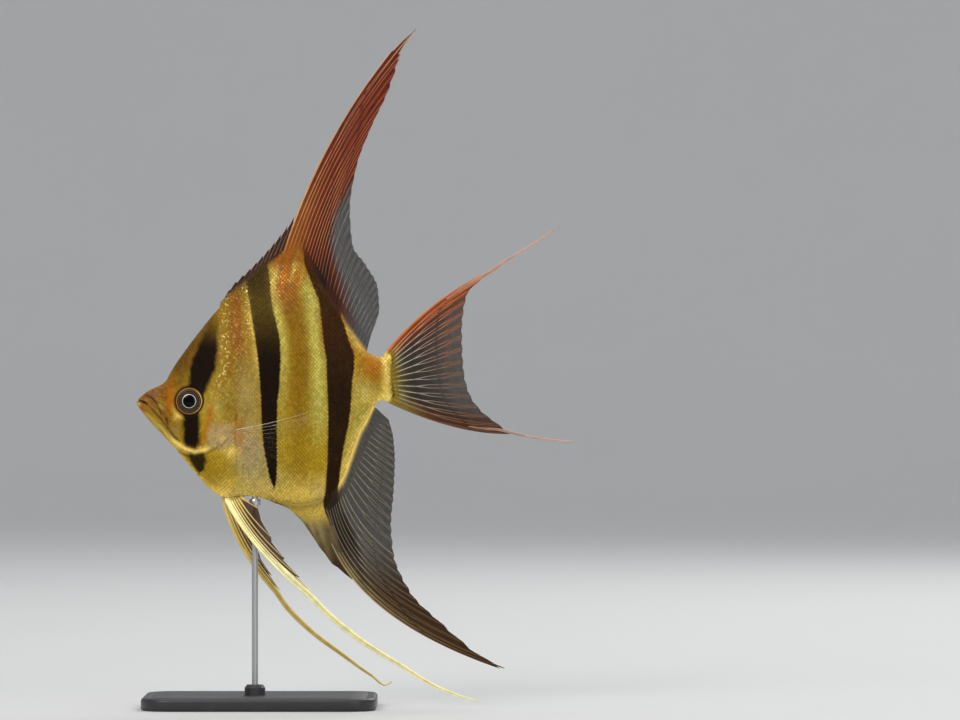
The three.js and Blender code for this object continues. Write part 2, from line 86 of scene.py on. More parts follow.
BACK = [
    (-105.4, 147), (-104.2, 148.4), (-102.4, 150.3), (-98.9, 152.7), (-94.1, 154.9), (-91.2, 157.2),
    (-89, 161.2), (-84.5, 168.1), (-74.9, 181), (-65.3, 192.4), (-54.2, 202.4), (-44.5, 209.6),
    (-34.1, 214.3), (-28.8, 215), (-25.2, 213.2), (-22.1, 209), (-12.5, 195.6), (-2.9, 181.2),
    (1.9, 174.5), (5, 171.2), (8, 169.4), (12, 168.5), (15.4, 169.4), (18.2, 171.6),
]
BELLY = [
    (-105.4, 145.4), (-103.7, 143), (-98.9, 137), (-89.3, 126.7), (-79.7, 115.4), (-70.1, 104.6),
    (-65.3, 101.2), (-60.5, 100.2), (-50.9, 101.2), (-41.3, 99.1), (-34.1, 97.3), (-26.9, 96.7),
    (-19.7, 97.9), (-14.9, 100.1), (-10.6, 103.4), (-7.2, 108.2), (-1.4, 123.6), (1.9, 132.2), (5.3, 138),
    (8.6, 144.6), (11.5, 147.1), (15.4, 147.8), (20, 147.5),
]
HALF_WIDTH = [
    (-105.4, 1.3), (-103, 2.3), (-98.9, 3.7), (-91.7, 5.9), (-79.7, 8), (-63, 9.5), (-46, 9.2), (-27, 7.6),
    (-12.5, 6.1), (-3, 5), (6.7, 3.8), (14, 2.9), (20, 2.3),
]
BACK_POWER = [(-105.4, 0.5), (-91, 0.55), (-70, 0.8), (-45, 1.1), (-10, 1), (4, 0.7), (20, 0.6)]
BELLY_POWER = [(-105.4, 0.5), (-80, 0.6), (-60, 0.62), (-35, 0.8), (-10, 0.9), (6, 0.7), (20, 0.6)]
BACK_RIDGE = [(-105.4, 0.5), (-95, 0.8), (-45, 0.9), (0, 0.8), (20, 0.8)]
BELLY_RIDGE = [(-105.4, 0.5), (-95, 0.9), (-64, 2.2), (-46, 2.4), (-37, 1.1), (0, 0.8), (20, 0.8)]

EYE_X, EYE_Z, EYE_RADIUS, EYE_BULGE = -79.7, 147.1, 6.9, 1.7

# Folds and plates of the head, in side view.
MOUTH_SLIT = [(-105.8, 147.5), (-103.4, 147.2), (-101.2, 146.4), (-99.6, 145.2)]
UPPER_JAW_FOLD = [(-101.6, 150.4), (-97.9, 148.6), (-95.5, 145.7), (-94.1, 142.8), (-92.6, 139.9)]
JAW_END_FOLD = [(-91.3, 140.3), (-90.7, 138), (-89.8, 135.1)]
CHEEK_FOLD = [(-99.4, 145), (-96, 141.4), (-92.5, 137.4), (-89.6, 133.2), (-87, 129.8), (-83.4, 127.4)]
JAW_STREAK = [
    (-103.6, 143.9), (-98, 139.2), (-93.4, 134.9), (-90, 130.8), (-86.9, 127.6), (-82.1, 124.4),
    (-77.3, 122.9), (-73, 123.6), (-68.5, 125.4),
]
SNOUT_STREAK = [(-97, 150.2), (-93, 152), (-88.6, 154.6)]
GILL_EDGE = [
    (-92, 128.6), (-88, 125.6), (-84.5, 122.6), (-80.5, 121), (-76.5, 120.9), (-72.5, 122), (-68.5, 124),
    (-64.5, 126.2), (-60.8, 129.6), (-58, 135.2), (-57.4, 143.6), (-60.4, 150.2), (-65, 156), (-70, 160),
]
CHEEK_PLATE = [
    (-70.6, 152), (-69.3, 145.2), (-70.6, 138), (-72.5, 132.2), (-73.9, 127.6), (-77, 125.8), (-82, 127.2),
]
NOSTRIL = (-91.2, 148.6)
PECTORAL_BASE = (-56.4, 129.4)

# Dark bars in side view: front edge and rear edge as (z, x), low to high. A bar closes where its edges cross.
EYE_BAR = (
    [
        (123.6, -81.4), (126.5, -82.8), (134, -83.2), (141, -82.8), (147, -81.6), (153, -80.6),
        (158, -80.2), (164, -79.6), (170, -77.4), (175.5, -75), (182.4, -72), (190, -69.6),
    ],
    [
        (123.6, -76.2), (126.5, -75.2), (134, -74.6), (141, -74.8), (147, -73.4), (153, -71.4),
        (158, -69.2), (164, -67), (170, -66.5), (175.5, -66.4), (182.4, -66.3), (190, -66),
    ],
)
BREAST_BAR = (
    [(112.6, -75.6), (116, -78.4), (119.5, -80.4), (122.4, -80.6), (124.6, -75)],
    [(112.6, -75), (114, -72.8), (119, -71.8), (122.4, -72.2), (124.6, -77)],
)
MIDDLE_BAR = (
    [
        (104.6, -39.5), (111.6, -41.8), (121.2, -43.7), (133.2, -45.1), (147.6, -45.6), (162, -46.6),
        (174, -48), (186, -49.9), (200.4, -52.3), (212, -54.5),
    ],
    [
        (104.6, -39.3), (109.2, -38.2), (116.4, -37.9), (133.2, -37.9), (145.2, -37.7), (154.8, -36.7),
        (166.8, -36.2), (176.4, -36.5), (185, -38.4), (193.2, -40.3), (202.8, -41.3), (214, -42.5),
    ],
)
REAR_BAR = (
    [
        (66, -7), (80.4, -11), (90, -13.4), (98.2, -15.8), (104.4, -14.9), (121.2, -13.9), (138, -13.4),
        (152.4, -13.9), (166.8, -14.4), (176.4, -15.8), (186, -16.8), (194.2, -17.8), (200.4, -20.2),
        (207.6, -23), (211.9, -24.5), (226, -26),
    ],
    [
        (66, 6), (80.4, 0), (90, -4), (98.2, -7.6), (104.4, -8.6), (114, -7.7), (121.2, -6.7),
        (128.4, -5.3), (138, -3.4), (147.6, -2.4), (157.2, -1.9), (163.9, -1), (168.7, -1), (174, -2.9),
        (181.2, -5.3), (188.4, -7.2), (195.6, -7.7), (205, -10), (226, -14),
    ],
)


# ---------- lines and the body's surface


def cubic(t, span, ends, slopes):
    """The cubic between two values with given slopes there, at the share t of a span."""
    rise = (ends[1] - ends[0]) * (t * t * (3 - 2 * t))
    return ends[0] + rise + (t * (1 - t) ** 2 * span * slopes[0] - t * t * (1 - t) * span * slopes[1])


def line_through(points):
    """A smooth line value(x) through (x, value) points.

    Between two points it is the cubic whose slope at each point is the harmonic mean of the rises on
    its two sides, or zero where they differ in sign, so it never overshoots. It is level past its ends.
    """
    at, value = np.array(points, float).T
    rise = np.diff(value) / np.diff(at)
    before, after = np.append(rise[0], rise), np.append(rise, rise[-1])
    both = before * after > 0
    slope = np.where(both, 2 * before * after / np.where(both, before + after, 1), 0)

    def line(x):
        x = np.asarray(x, float)
        i = np.clip(np.searchsorted(at, x) - 1, 0, len(at) - 2)
        span = at[i + 1] - at[i]
        t = np.clip((x - at[i]) / span, 0, 1)
        return cubic(t, span, (value[i], value[i + 1]), (slope[i], slope[i + 1]))

    return line


def smooth(low, high, x):
    """0 below low, 1 above high, and 3t^2 - 2t^3 between them."""
    t = np.clip((np.asarray(x, float) - low) / (high - low), 0, 1)
    return t * t * (3 - 2 * t)


def hump(distance, reach):
    """A bell: e to the power of minus the square of distance over reach."""
    return np.exp(-((distance / reach) ** 2))


back_z, belly_z, half_width = line_through(BACK), line_through(BELLY), line_through(HALF_WIDTH)
back_power, belly_power = line_through(BACK_POWER), line_through(BELLY_POWER)
back_ridge, belly_ridge = line_through(BACK_RIDGE), line_through(BELLY_RIDGE)


def near_line(x, z, points):
    """Distance from each place to a line of straight pieces, and the share of the line at its nearest point.

    The distance is positive on the left of the line's run. Each piece's nearest point is the foot of
    the perpendicular, held between its ends; the shortest of these counts.
    """
    ends = np.array(points, float)
    a, d = ends[:-1], np.diff(ends, axis=0)
    px, pz = np.asarray(x, float)[..., None] - a[:, 0], np.asarray(z, float)[..., None] - a[:, 1]
    t = np.clip((px * d[:, 0] + pz * d[:, 1]) / (d**2).sum(1), 0, 1)
    gap = np.hypot(px - t * d[:, 0], pz - t * d[:, 1])
    k = gap.argmin(-1)[..., None]
    side = np.take_along_axis(np.sign(d[:, 0] * pz - d[:, 1] * px), k, -1)[..., 0]
    share = (k[..., 0] + np.take_along_axis(t, k, -1)[..., 0]) / len(d)
    return np.take_along_axis(gap, k, -1)[..., 0] * np.where(side == 0, 1, side), share


def fade_ends(share, ends=0.12):
    """1 along a line, falling smoothly to 0 at its two ends."""
    return smooth(0, ends, share) * smooth(0, ends, 1 - share)


def ledge(x, z, points, height, sharp, reach, worn=0.0):
    """A plate's edge: raised on the left of the line and lowered on its right, dying away over reach.

    `worn` is the share of the height that is lost towards the line's far end.
    """
    gap, share = near_line(x, z, points)
    kept = fade_ends(share) * (1 - worn * smooth(0.42, 0.68, share))
    return height * np.tanh(gap / sharp) * np.exp(-np.abs(gap) / reach) * kept


def groove(x, z, points, width, ends=0.12):
    """How much of a fold along a line a place has: 1 on the line, as a bell of that width."""
    gap, share = near_line(x, z, points)
    return hump(gap, width) * fade_ends(share, ends)


def relief(x, z):
    """How far the skin stands out of the plain body at a place in side view.

    The sum of the head's forms: lips above and below the mouth slit, jaw and cheek folds, the edges
    of the cheek plate and gill cover, the rim and socket of the eye, the nostril and the fin's base.
    """
    eye = np.hypot(x - EYE_X, z - EYE_Z)
    mouth_gap, mouth_share = near_line(x, z, MOUTH_SLIT)
    mouth_ends = smooth(0, 0.25, 1 - mouth_share)
    out = 0.32 * hump(mouth_gap - 1.0, 0.8) * mouth_ends + 0.36 * hump(mouth_gap + 1.1, 0.8) * mouth_ends
    out -= 0.95 * hump(mouth_gap, 0.34) * smooth(0, 0.35, 1 - mouth_share)
    out -= 0.34 * groove(x, z, UPPER_JAW_FOLD, 0.4)
    out -= 0.4 * groove(x, z, JAW_END_FOLD, 0.45, 0.3)
    out -= 0.34 * groove(x, z, CHEEK_FOLD, 0.45)
    out += 0.24 * groove(x, z, JAW_STREAK, 1.15)
    out += ledge(x, z, GILL_EDGE, 0.55, 0.28, 2.0, 0.72)
    out -= ledge(x, z, CHEEK_PLATE, 0.3, 0.3, 1.4)
    out += 0.3 * hump(eye - 7.9, 0.75) - 1.5 * (1 - smooth(6.2, 7.3, eye))
    out -= 0.18 * hump(eye - 9.6, 0.6) * smooth(-76, -84, x)
    nostril = np.hypot(x - NOSTRIL[0], z - NOSTRIL[1])
    out += 0.22 * hump(nostril - 1.1, 0.4) - 0.6 * hump(nostril, 0.55)
    base = np.hypot((x - PECTORAL_BASE[0]) * 1.6, z - PECTORAL_BASE[1])
    out += 0.55 * hump(base, 4.6)
    return out


def body_point(x, t, side, sink):
    """A point of the plain body, sunk by a depth.

    Height runs from the belly line at t = -1 to the back line at t = 1. The half-thickness is the
    ridge plus the rest of the half-width times (1 - t^2) to the power of that half's roundness.
    """
    upper = t > 0
    power = np.where(upper, back_power(x), belly_power(x))
    ridge = np.where(upper, back_ridge(x), belly_ridge(x))
    thick = ridge + (half_width(x) - ridge) * np.maximum(0, 1 - t * t) ** power
    low, high = belly_z(x) + sink, back_z(x) - sink
    z = low + (high - low) * (t + 1) / 2
    tail = smooth(-3.2, 0.6, x - tail_rear(t))
    y = np.maximum(thick - sink, 0.25) * (1 - tail) + 0.7 * tail
    return np.stack([x + 0 * t, side * y, z], -1)


def tail_rear(t):
    """Where the flesh gives way to the tail fin: further back above and below, rounded off at both edges."""
    return 16.0 + np.where(t > 0, 1.5, 3.6) * t * t - np.where(t > 0, 2.6, 4.4) * t**8


def skin_point(x, t, side, lift=0.0):
    """A point of the skin with the head's relief, raised along the outward direction.

    The direction is the cross product of the surface's two slopes, taken by small differences.
    """
    depth = bpy.context.scene.angelfish_body.coat_depth / MM
    x, t = np.broadcast_arrays(np.asarray(x, float), np.asarray(t, float))
    along = body_point(x + 0.05, t, side, depth) - body_point(x - 0.05, t, side, depth)
    low, high = np.clip(t - 0.004, -1, 1), np.clip(t + 0.004, -1, 1)
    up = body_point(x, high, side, depth) - body_point(x, low, side, depth)
    out = np.cross(along, up) * -side
    out /= np.maximum(np.linalg.norm(out, axis=-1, keepdims=True), 1e-9)
    here = body_point(x, t, side, depth)
    rise = relief(here[..., 0], here[..., 2]) * (1 - smooth(0.9, 1.0, np.abs(t)) * 0.5)
    return here + out * (rise + lift)[..., None]


def flank_z(x, t):
    """The height in side view of a place's share t, from the belly line at -1 to the back line at 1."""
    return belly_z(x) + (back_z(x) - belly_z(x)) * (t + 1) / 2


def height_share(x, z):
    """The share t of a place in side view."""
    return 2 * (z - belly_z(x)) / (back_z(x) - belly_z(x)) - 1


# ---------- markings


def inside_bar(x, z, edges):
    """How far inside a bar a place is: the least of the distances to its front, rear, foot and head."""
    front, rear = line_through(edges[0]), line_through(edges[1])
    foot, head = edges[0][0][0], edges[0][-1][0]
    return np.minimum(np.minimum(x - front(z), rear(z) - x), np.minimum(z - foot + 0.6, head + 40 - z))


# Spots of the markings in side view: weight, centre x and z, half width and half height.
SPOTS = {
    "ochre": [
        (0.4, -70, 112, 7, 6), (0.9, -85, 158, 5, 7), (0.9, -86, 136, 6, 6), (0.6, 8, 160, 5, 6),
        (0.75, -62, 145, 6, 9),
    ],
    "brown": [
        (0.4, -99, 149.5, 4, 2.2), (0.4, -85, 160, 4, 6), (0.6, -91.8, 141, 0.9, 1.6),
        (0.7, -57.4, 139, 0.9, 2.6), (0.5, -61, 144.2, 0.8, 1.6),
    ],
    "orange": [
        (0.8, -88.9, 148.4, 2.8, 6.5), (1, -56, 130.6, 2.2, 5.4), (0.4, -68.2, 141, 2.6, 4.6),
        (0.25, -101, 143.5, 3, 2),
    ],
    "cream": [
        (0.8, -59.8, 122.8, 3.6, 2.8), (0.35, 6, 150, 5, 4), (0.5, -86.2, 139.2, 1.8, 2.2),
        (0.45, -64.6, 129.6, 2.4, 1.6),
    ],
    "lemon": [(0.25, -60.5, 150, 7, 7), (0.9, -67.6, 142.4, 3.4, 5.6), (0.7, -93.4, 144.6, 2, 2.2)],
    "silver": [
        (0.8, -57, 101.5, 3, 2.4), (0.9, -50, 121, 8, 9), (0.5, -42, 108, 10, 7), (0.65, -17, 103, 5, 6),
        (0.3, 5, 152, 5, 4), (0.25, -87, 133, 2.6, 3),
    ],
    "rose": [(0.35, -49, 126, 6, 6)],
    "olive": [(0.3, -84, 160, 4, 6)],
    # Pale-gold flecks, partly painted glints of light on the scales.
    "fleck": [
        (0.9, -37, 203, 3.5, 6), (0.7, -21, 196, 3, 8), (0.5, -66, 150, 5, 6), (0.6, -61.4, 137.5, 3, 4),
    ],
}


def spots(x, z, colour):
    """The sum of a colour's spots: bells of the distance, measured in each one's half width and height."""
    return sum(
        weight * hump(np.hypot((x - at_x) / wide, (z - at_z) / high), 1.0)
        for weight, at_x, at_z, wide, high in SPOTS[colour]
    )


def band(x, low, first, last, high):
    """1 from first to last and 0 beyond low and high: one smooth step up times one down."""
    return smooth(low, first, x) * smooth(high, last, x)


def body_marks(x, z):
    """The masks that colour the flanks, worked out in side view, as four groups of three.

    "marks" holds the distance inside the nearest dark bar over 10 mm, that bar's strength and the
    painted shade of the folds, slits, nostril and eye socket. "tones" holds ochre, cream and orange,
    "gleam" silver, olive and the pale-gold flecks, which are partly painted glints, and "stripes" lemon,
    brown and rose. Each is a sum of spots, bells and smooth steps in x, z, or in the share of the way
    from one bar to the next.
    """
    streak_gap, streak_share = near_line(x, z, JAW_STREAK)
    streak = hump(streak_gap, 0.75 + 0.6 * smooth(0.3, 0.7, streak_share)) * fade_ends(streak_share, 0.1)
    bars = np.stack([inside_bar(x, z, e) for e in (EYE_BAR, BREAST_BAR, MIDDLE_BAR, REAR_BAR)])
    strength = np.stack([
        (1 - 0.9 * smooth(172, 189, z)) * (1 - 0.95 * streak),
        0.96 * (1 - 0.9 * streak),
        1 - 0.3 * smooth(165, 206, z),
        0.95 - 0.15 * smooth(150, 200, z),
    ])
    k = bars.argmax(0)[None]
    on_head = k[0] < 2
    bar, strong = np.take_along_axis(bars, k, 0)[0], np.take_along_axis(strength, k, 0)[0]

    after_eye, before_mid = line_through(EYE_BAR[1])(z), line_through(MIDDLE_BAR[0])(z)
    after_mid, before_rear = line_through(MIDDLE_BAR[1])(z), line_through(REAR_BAR[0])(z)
    front_share = (x - after_eye) / np.maximum(before_mid - after_eye, 1)
    mid_share = (x - after_mid) / np.maximum(before_rear - after_mid, 1)
    high = height_share(x, z)
    eye = np.hypot(x - EYE_X, z - EYE_Z)
    snout, nape = smooth(-85, -92, x), band(x, -92, -86, -72, -62) * smooth(158, 168, z)

    ochre = 0.85 * hump(front_share - 0.4, 0.34) * smooth(134, 164, z)
    ochre += 0.35 * smooth(118, 150, z) * smooth(-64, -54, x)
    ochre += hump(mid_share - 0.44, 0.19) * (0.5 + 0.5 * smooth(142, 172, z)) * smooth(102, 114, z)
    ochre += 0.7 * snout * (1 - 0.6 * smooth(142, 134, z)) + 0.8 * nape

    # The streaks at the dorsal fin's front foot lean back as its rays do.
    lean, foot = x - 0.28 * (z - 210), smooth(197, 207, z) * smooth(-44, -40, x)
    red_streak = hump(front_share - 0.55, 0.19) * smooth(164, 176, z)
    crown = hump(mid_share - 0.3, 0.25) * smooth(184, 202, z) * (1 - 0.5 * foot)
    warm = (hump(lean + 33.6, 1.7) + hump(lean + 27.2, 1.6) + 0.6 * hump(lean + 24, 1.4)) * foot
    brown = 0.75 * red_streak + 0.45 * crown + 0.4 * warm + 0.8 * smooth(209, 218, z) + 0.5 * nape
    brown += 0.5 * hump(near_line(x, z, SNOUT_STREAK)[0], 0.7) * snout + 0.4 * snout * smooth(138, 146, z)
    brown += 0.6 * smooth(160, 186, z) * band(x, -20, -16, -3, 3) + 0.9 * smooth(-0.4, 0.8, bars[3])
    brown += 0.25 * hump(mid_share - 0.46, 0.3) * smooth(172, 190, z)
    brown += 0.2 * hump(x - 7.6, 4.4) * smooth(158, 165, z)
    wrinkle = np.sin(2.6 * streak_gap + 1.2 * np.sin(x * 0.9)) * smooth(-86, -90, x) * smooth(158, 152, z)
    brown += 0.34 * smooth(0.1, 0.9, wrinkle)

    orange = 0.3 * red_streak + 0.15 * smooth(209, 218, z) + 0.55 * crown * smooth(188, 200, z)
    orange += 0.8 * warm * (1 - 0.6 * smooth(208, 216, z)) + 0.55 * groove(x, z, CHEEK_PLATE, 1.5, 0.25)
    orange += 0.62 * hump(x - 6.6, 5.5) * smooth(152, 163, z)

    rear_rim = hump(x - 14.4, 1.9) + smooth(-11, -4, x) * (hump(high - 1, 0.17) + hump(high + 1, 0.24))
    lip = hump(np.hypot(x + 104.6, z - 145.9), 1.3)
    cream = (0.3 + 0.67 * smooth(0.3, 0.62, streak_share)) * streak + rear_rim + lip
    cream += 0.55 * smooth(116, 99, z) * smooth(-74, -64, x) * (0.25 + 0.75 * smooth(88, 99, z))
    cream += 0.35 * hump(front_share - 0.98, 0.07) * smooth(150, 170, z)
    cream += 0.6 * hump(high + 1, 0.07) * band(x, -92, -84, -66, -58)
    cream += 0.4 * hump(high + 1, 0.24) * band(x, -105, -100, -90, -82)
    cream += 0.55 * hump(eye - 8.9, 0.8) * smooth(-79, -84, x) * smooth(148, 143, z)
    cream += (0.6 * hump(lean + 38.2, 1.2) + 0.4 * hump(lean + 30.3, 1)) * foot * smooth(224, 214, z)

    lemon = hump(mid_share - 0.83, 0.16) * smooth(118, 146, z) * smooth(220, 209, z)
    lemon += 0.8 * hump(mid_share - 0.07, 0.11) * smooth(118, 178, z) * smooth(220, 209, z)
    lemon += 0.4 * (hump(x + 3, 6.5) + hump(x - 4, 4)) * smooth(170, 150, z)

    cover = band(x, -73, -68, -61, -56) * band(z, 122, 128, 146, 158)
    silver = 0.85 * cover * smooth(138, 130, z) + 0.5 * smooth(97, 86, z)
    silver += 0.4 * band(x, -60, -53, -50, -43) * smooth(178, 150, z)
    rose = 0.5 * cover * smooth(140, 132, z) + lip
    rose += 0.4 * hump(streak_gap - 1.3, 0.8) * smooth(0.5, 0.7, streak_share) * fade_ends(streak_share, 0.1)
    olive = 0.75 * smooth(190, 206, z) * smooth(-38, -46, x) + 0.45 * nape + 0.9 * smooth(97, 70, z)
    olive += 0.9 * smooth(16, 18, x) + 0.55 * hump(high + 1, 0.045) * band(x, -46, -40, -16, -12)
    # Pale-gold flecks, partly painted glints on the scales.
    fleck = hump(front_share - 0.94, 0.12) * smooth(166, 178, z)
    fleck += 0.8 * hump(front_share - 0.2, 0.1) * smooth(152, 160, z)
    fleck += 0.28 * hump(front_share - 0.5, 0.45) * smooth(138, 165, z)

    # Painted shade: the mouth slit, jaw and cheek folds, the gill cover's edge, the nostril and the socket
    # round the eye are darkened as if in shade.
    gill_gap, gill_share = near_line(x, z, GILL_EDGE)
    gill_slit = fade_ends(gill_share) * (1 - 0.8 * smooth(0.4, 0.66, gill_share))
    fold_shade = groove(x, z, MOUTH_SLIT, 0.5, 0.1) + 0.8 * groove(x, z, UPPER_JAW_FOLD, 0.55)
    fold_shade += 0.9 * groove(x, z, JAW_END_FOLD, 0.55, 0.3) + 0.65 * groove(x, z, CHEEK_FOLD, 0.55)
    fold_shade += 0.4 * hump(gill_gap + 0.45, 0.5) * gill_slit
    fold_shade += 0.5 * hump(np.hypot(x - NOSTRIL[0], z - NOSTRIL[1]), 0.5) + 0.85 * (1 - smooth(6.8, 7.4, eye))

    def pack(**masks):
        return np.stack([np.clip(mask + spots(x, z, colour), 0, 1) for colour, mask in masks.items()], -1)

    return {
        "marks": np.stack([bar / 10 * np.where(on_head, 0.32, 1), strong, np.clip(fold_shade, 0, 1)], -1),
        "tones": pack(ochre=ochre, cream=cream, orange=orange),
        "gleam": pack(silver=silver, olive=olive, fleck=fleck),
        "stripes": pack(lemon=lemon, brown=brown, rose=rose),
    }


# ---------- making meshes


def grid_faces(rows, columns, wrap=False):
    """The corners of the cells of a grid of points, row by row; wrap joins the last column to the first."""
    i, j = np.meshgrid(np.arange(rows - 1), np.arange(columns if wrap else columns - 1), indexing="ij")
    low, high, k = i * columns, (i + 1) * columns, (j + 1) % columns
    return np.stack([low + j, low + k, high + k, high + j], -1).reshape(-1, 4)


def closed_faces(rows, columns):
    """A wrapped grid whose first and last rows are drawn together to the two points that follow the grid."""
    k = np.arange(columns)
    nxt, nothing = (k + 1) % columns, np.full(columns, -1)
    first, last = 0, (rows - 1) * columns
    return np.concatenate([
        grid_faces(rows, columns, wrap=True),
        np.stack([first + nxt, first + k, np.full(columns, rows * columns), nothing], -1),
        np.stack([last + k, last + nxt, np.full(columns, rows * columns + 1), nothing], -1),
    ])


def copied_faces(faces, count, size):
    """The faces of a number of copies, one after another, of a shape with that many points."""
    return (faces[None] + (np.arange(count) * size)[:, None, None]).reshape(-1, 4)


def piece(name, points, faces, material, replaces=(), marks=None, bake_map=None):
    """Makes one closed piece from points in mm and faces of four corners, facing out.

    A face whose last corner is -1 has three corners. The faces are turned round where the enclosed
    volume, a sixth of the sum of corner dot (corner x corner), comes out negative.
    """
    points = np.asarray(points, float).reshape(-1, 3)
    faces = np.asarray(faces, np.int64)
    a, b, c = (points[faces[:, n]] for n in range(3))
    volume = (a * np.cross(b, c)).sum()
    quads = faces[:, 3] >= 0
    d = points[faces[quads, 3]]
    volume += (a[quads] * np.cross(c[quads], d)).sum()
    sizes = np.where(quads, 4, 3)
    if volume < 0:
        flipped = faces[:, [3, 2, 1, 0]]
        flipped[~quads] = faces[~quads][:, [2, 1, 0, 3]]
        faces = flipped
    corners = faces[faces >= 0]
    mesh = bpy.data.meshes.new(name)
    mesh.vertices.add(len(points))
    mesh.vertices.foreach_set("co", (points * MM).astype(np.float32).ravel())
    mesh.loops.add(len(corners))
    mesh.loops.foreach_set("vertex_index", corners.astype(np.int32))
    mesh.polygons.add(len(faces))
    mesh.polygons.foreach_set("loop_start", np.append(0, np.cumsum(sizes)[:-1]).astype(np.int32))
    mesh.polygons.foreach_set("use_smooth", np.ones(len(faces), bool))
    mesh.update(calc_edges=True)
    if mesh.validate():
        raise RuntimeError(f"{name} has broken faces")
    for key, values in (marks or {}).items():
        kind, field = ("FLOAT", "value") if np.ndim(values) == 1 else ("FLOAT_VECTOR", "vector")
        attribute = mesh.attributes.new(key, kind, "POINT")
        attribute.data.foreach_set(field, np.asarray(values, np.float32).ravel())
    if bake_map is not None:
        layer = mesh.uv_layers.new(name="OFBake")
        layer.uv.foreach_set("vector", np.asarray(bake_map, np.float32)[corners].ravel())
    made = bpy.data.objects.new(name, mesh)
    bpy.context.scene.collection.objects.link(made)
    mesh.materials.append(material)
    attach(made, "root")
    if replaces:
        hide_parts(*replaces)
    return made


# ---------- finishes


def new_group(name, inputs, outputs):
    """An empty shader node group with named inputs (name, kind, default) and outputs (name, kind)."""
    group = bpy.data.node_groups.new(name, "ShaderNodeTree")
    for label, kind, value in inputs:
        group.interface.new_socket(label, in_out="INPUT", socket_type=kind).default_value = value
    for label, kind in outputs:
        group.interface.new_socket(label, in_out="OUTPUT", socket_type=kind)
    return group, group.nodes.new("NodeGroupInput"), group.nodes.new("NodeGroupOutput")


class Wires:
    """Short ways to place and join the nodes of one tree."""

    def __init__(self, tree):
        self.tree = tree

    def node(self, kind, **settings):
        made = self.tree.nodes.new(kind)
        for key, value in settings.items():
            setattr(made, key, value)
        return made

    def join(self, source, target):
        if isinstance(source, bpy.types.NodeSocket):
            self.tree.links.new(source, target)
        else:
            target.default_value = source

    def fill(self, made, *given):
        """Fills a node's inputs in their order, and gives its first output."""
        for source, target in zip(given, made.inputs):
            self.join(source, target)
        return made.outputs[0]

    def maths(self, operation, a, b=0.0, c=0.0, clamp=False):
        return self.fill(self.node("ShaderNodeMath", operation=operation, use_clamp=clamp), a, b, c)

    def times(self, a, b, clamp=False):
        return self.maths("MULTIPLY", a, b, clamp=clamp)

    def plus(self, a, b, clamp=False):
        return self.maths("ADD", a, b, clamp=clamp)

    def minus(self, a, b):
        return self.maths("SUBTRACT", a, b)

    def grey(self, level):
        """A colour whose three parts are one number."""
        return self.fill(self.node("ShaderNodeCombineColor"), level, level, level)

    def blend(self, share, a, b, mode="MIX"):
        made = self.node("ShaderNodeMix", data_type="RGBA", blend_type=mode, clamp_factor=True)
        self.join(share, made.inputs[0])
        self.join(a, made.inputs[6])
        self.join(b, made.inputs[7])
        return made.outputs[2]

    def shade(self, color, level):
        """A colour made lighter or darker by a number."""
        return self.blend(1.0, color, self.grey(level), "MULTIPLY")

    def step(self, value, low, high, out_low=0.0, out_high=1.0):
        """A smooth step of a value between two limits, from one number to another."""
        made = self.node("ShaderNodeMapRange", interpolation_type="SMOOTHSTEP")
        return self.fill(made, value, low, high, out_low, out_high)

    def parts(self, attribute):
        """The three numbers kept on the mesh under a name."""
        read = self.node("ShaderNodeAttribute", attribute_name=attribute)
        split = self.node("ShaderNodeSeparateXYZ")
        self.join(read.outputs["Vector"], split.inputs[0])
        return split.outputs

    def number(self, attribute):
        """The one number kept on the mesh under a name."""
        return self.node("ShaderNodeAttribute", attribute_name=attribute).outputs["Fac"]

    def cells(self, scale):
        """Distance to the border between two cells of a net of small cells."""
        made = self.node("ShaderNodeTexVoronoi", feature="DISTANCE_TO_EDGE")
        made.inputs["Scale"].default_value = scale
        self.join(self.node("ShaderNodeTexCoord").outputs["Object"], made.inputs["Vector"])
        return made.outputs["Distance"]

    def noise(self, scale, detail, stretch=None, vector=None):
        made = self.node("ShaderNodeTexNoise")
        made.inputs["Scale"].default_value = scale
        made.inputs["Detail"].default_value = detail
        if vector is None:
            vector = self.node("ShaderNodeTexCoord").outputs["Object"]
        if stretch is not None:
            mapping = self.node("ShaderNodeMapping")
            mapping.inputs["Scale"].default_value = stretch
            self.join(vector, mapping.inputs["Vector"])
            vector = mapping.outputs["Vector"]
        self.join(vector, made.inputs["Vector"])
        return made.outputs["Fac"]

    def unrest(self, amount, scale, detail, **more):
        """Noise that swings about zero by an amount."""
        return self.times(self.minus(self.noise(scale, detail, **more), 0.5), amount)

    def bump(self, height, strength, distance):
        made = self.node("ShaderNodeBump")
        made.inputs["Strength"].default_value = strength
        made.inputs["Distance"].default_value = distance
        self.join(height, made.inputs["Height"])
        return made.outputs["Normal"]


def rgba(color):
    return (*color, 1.0)


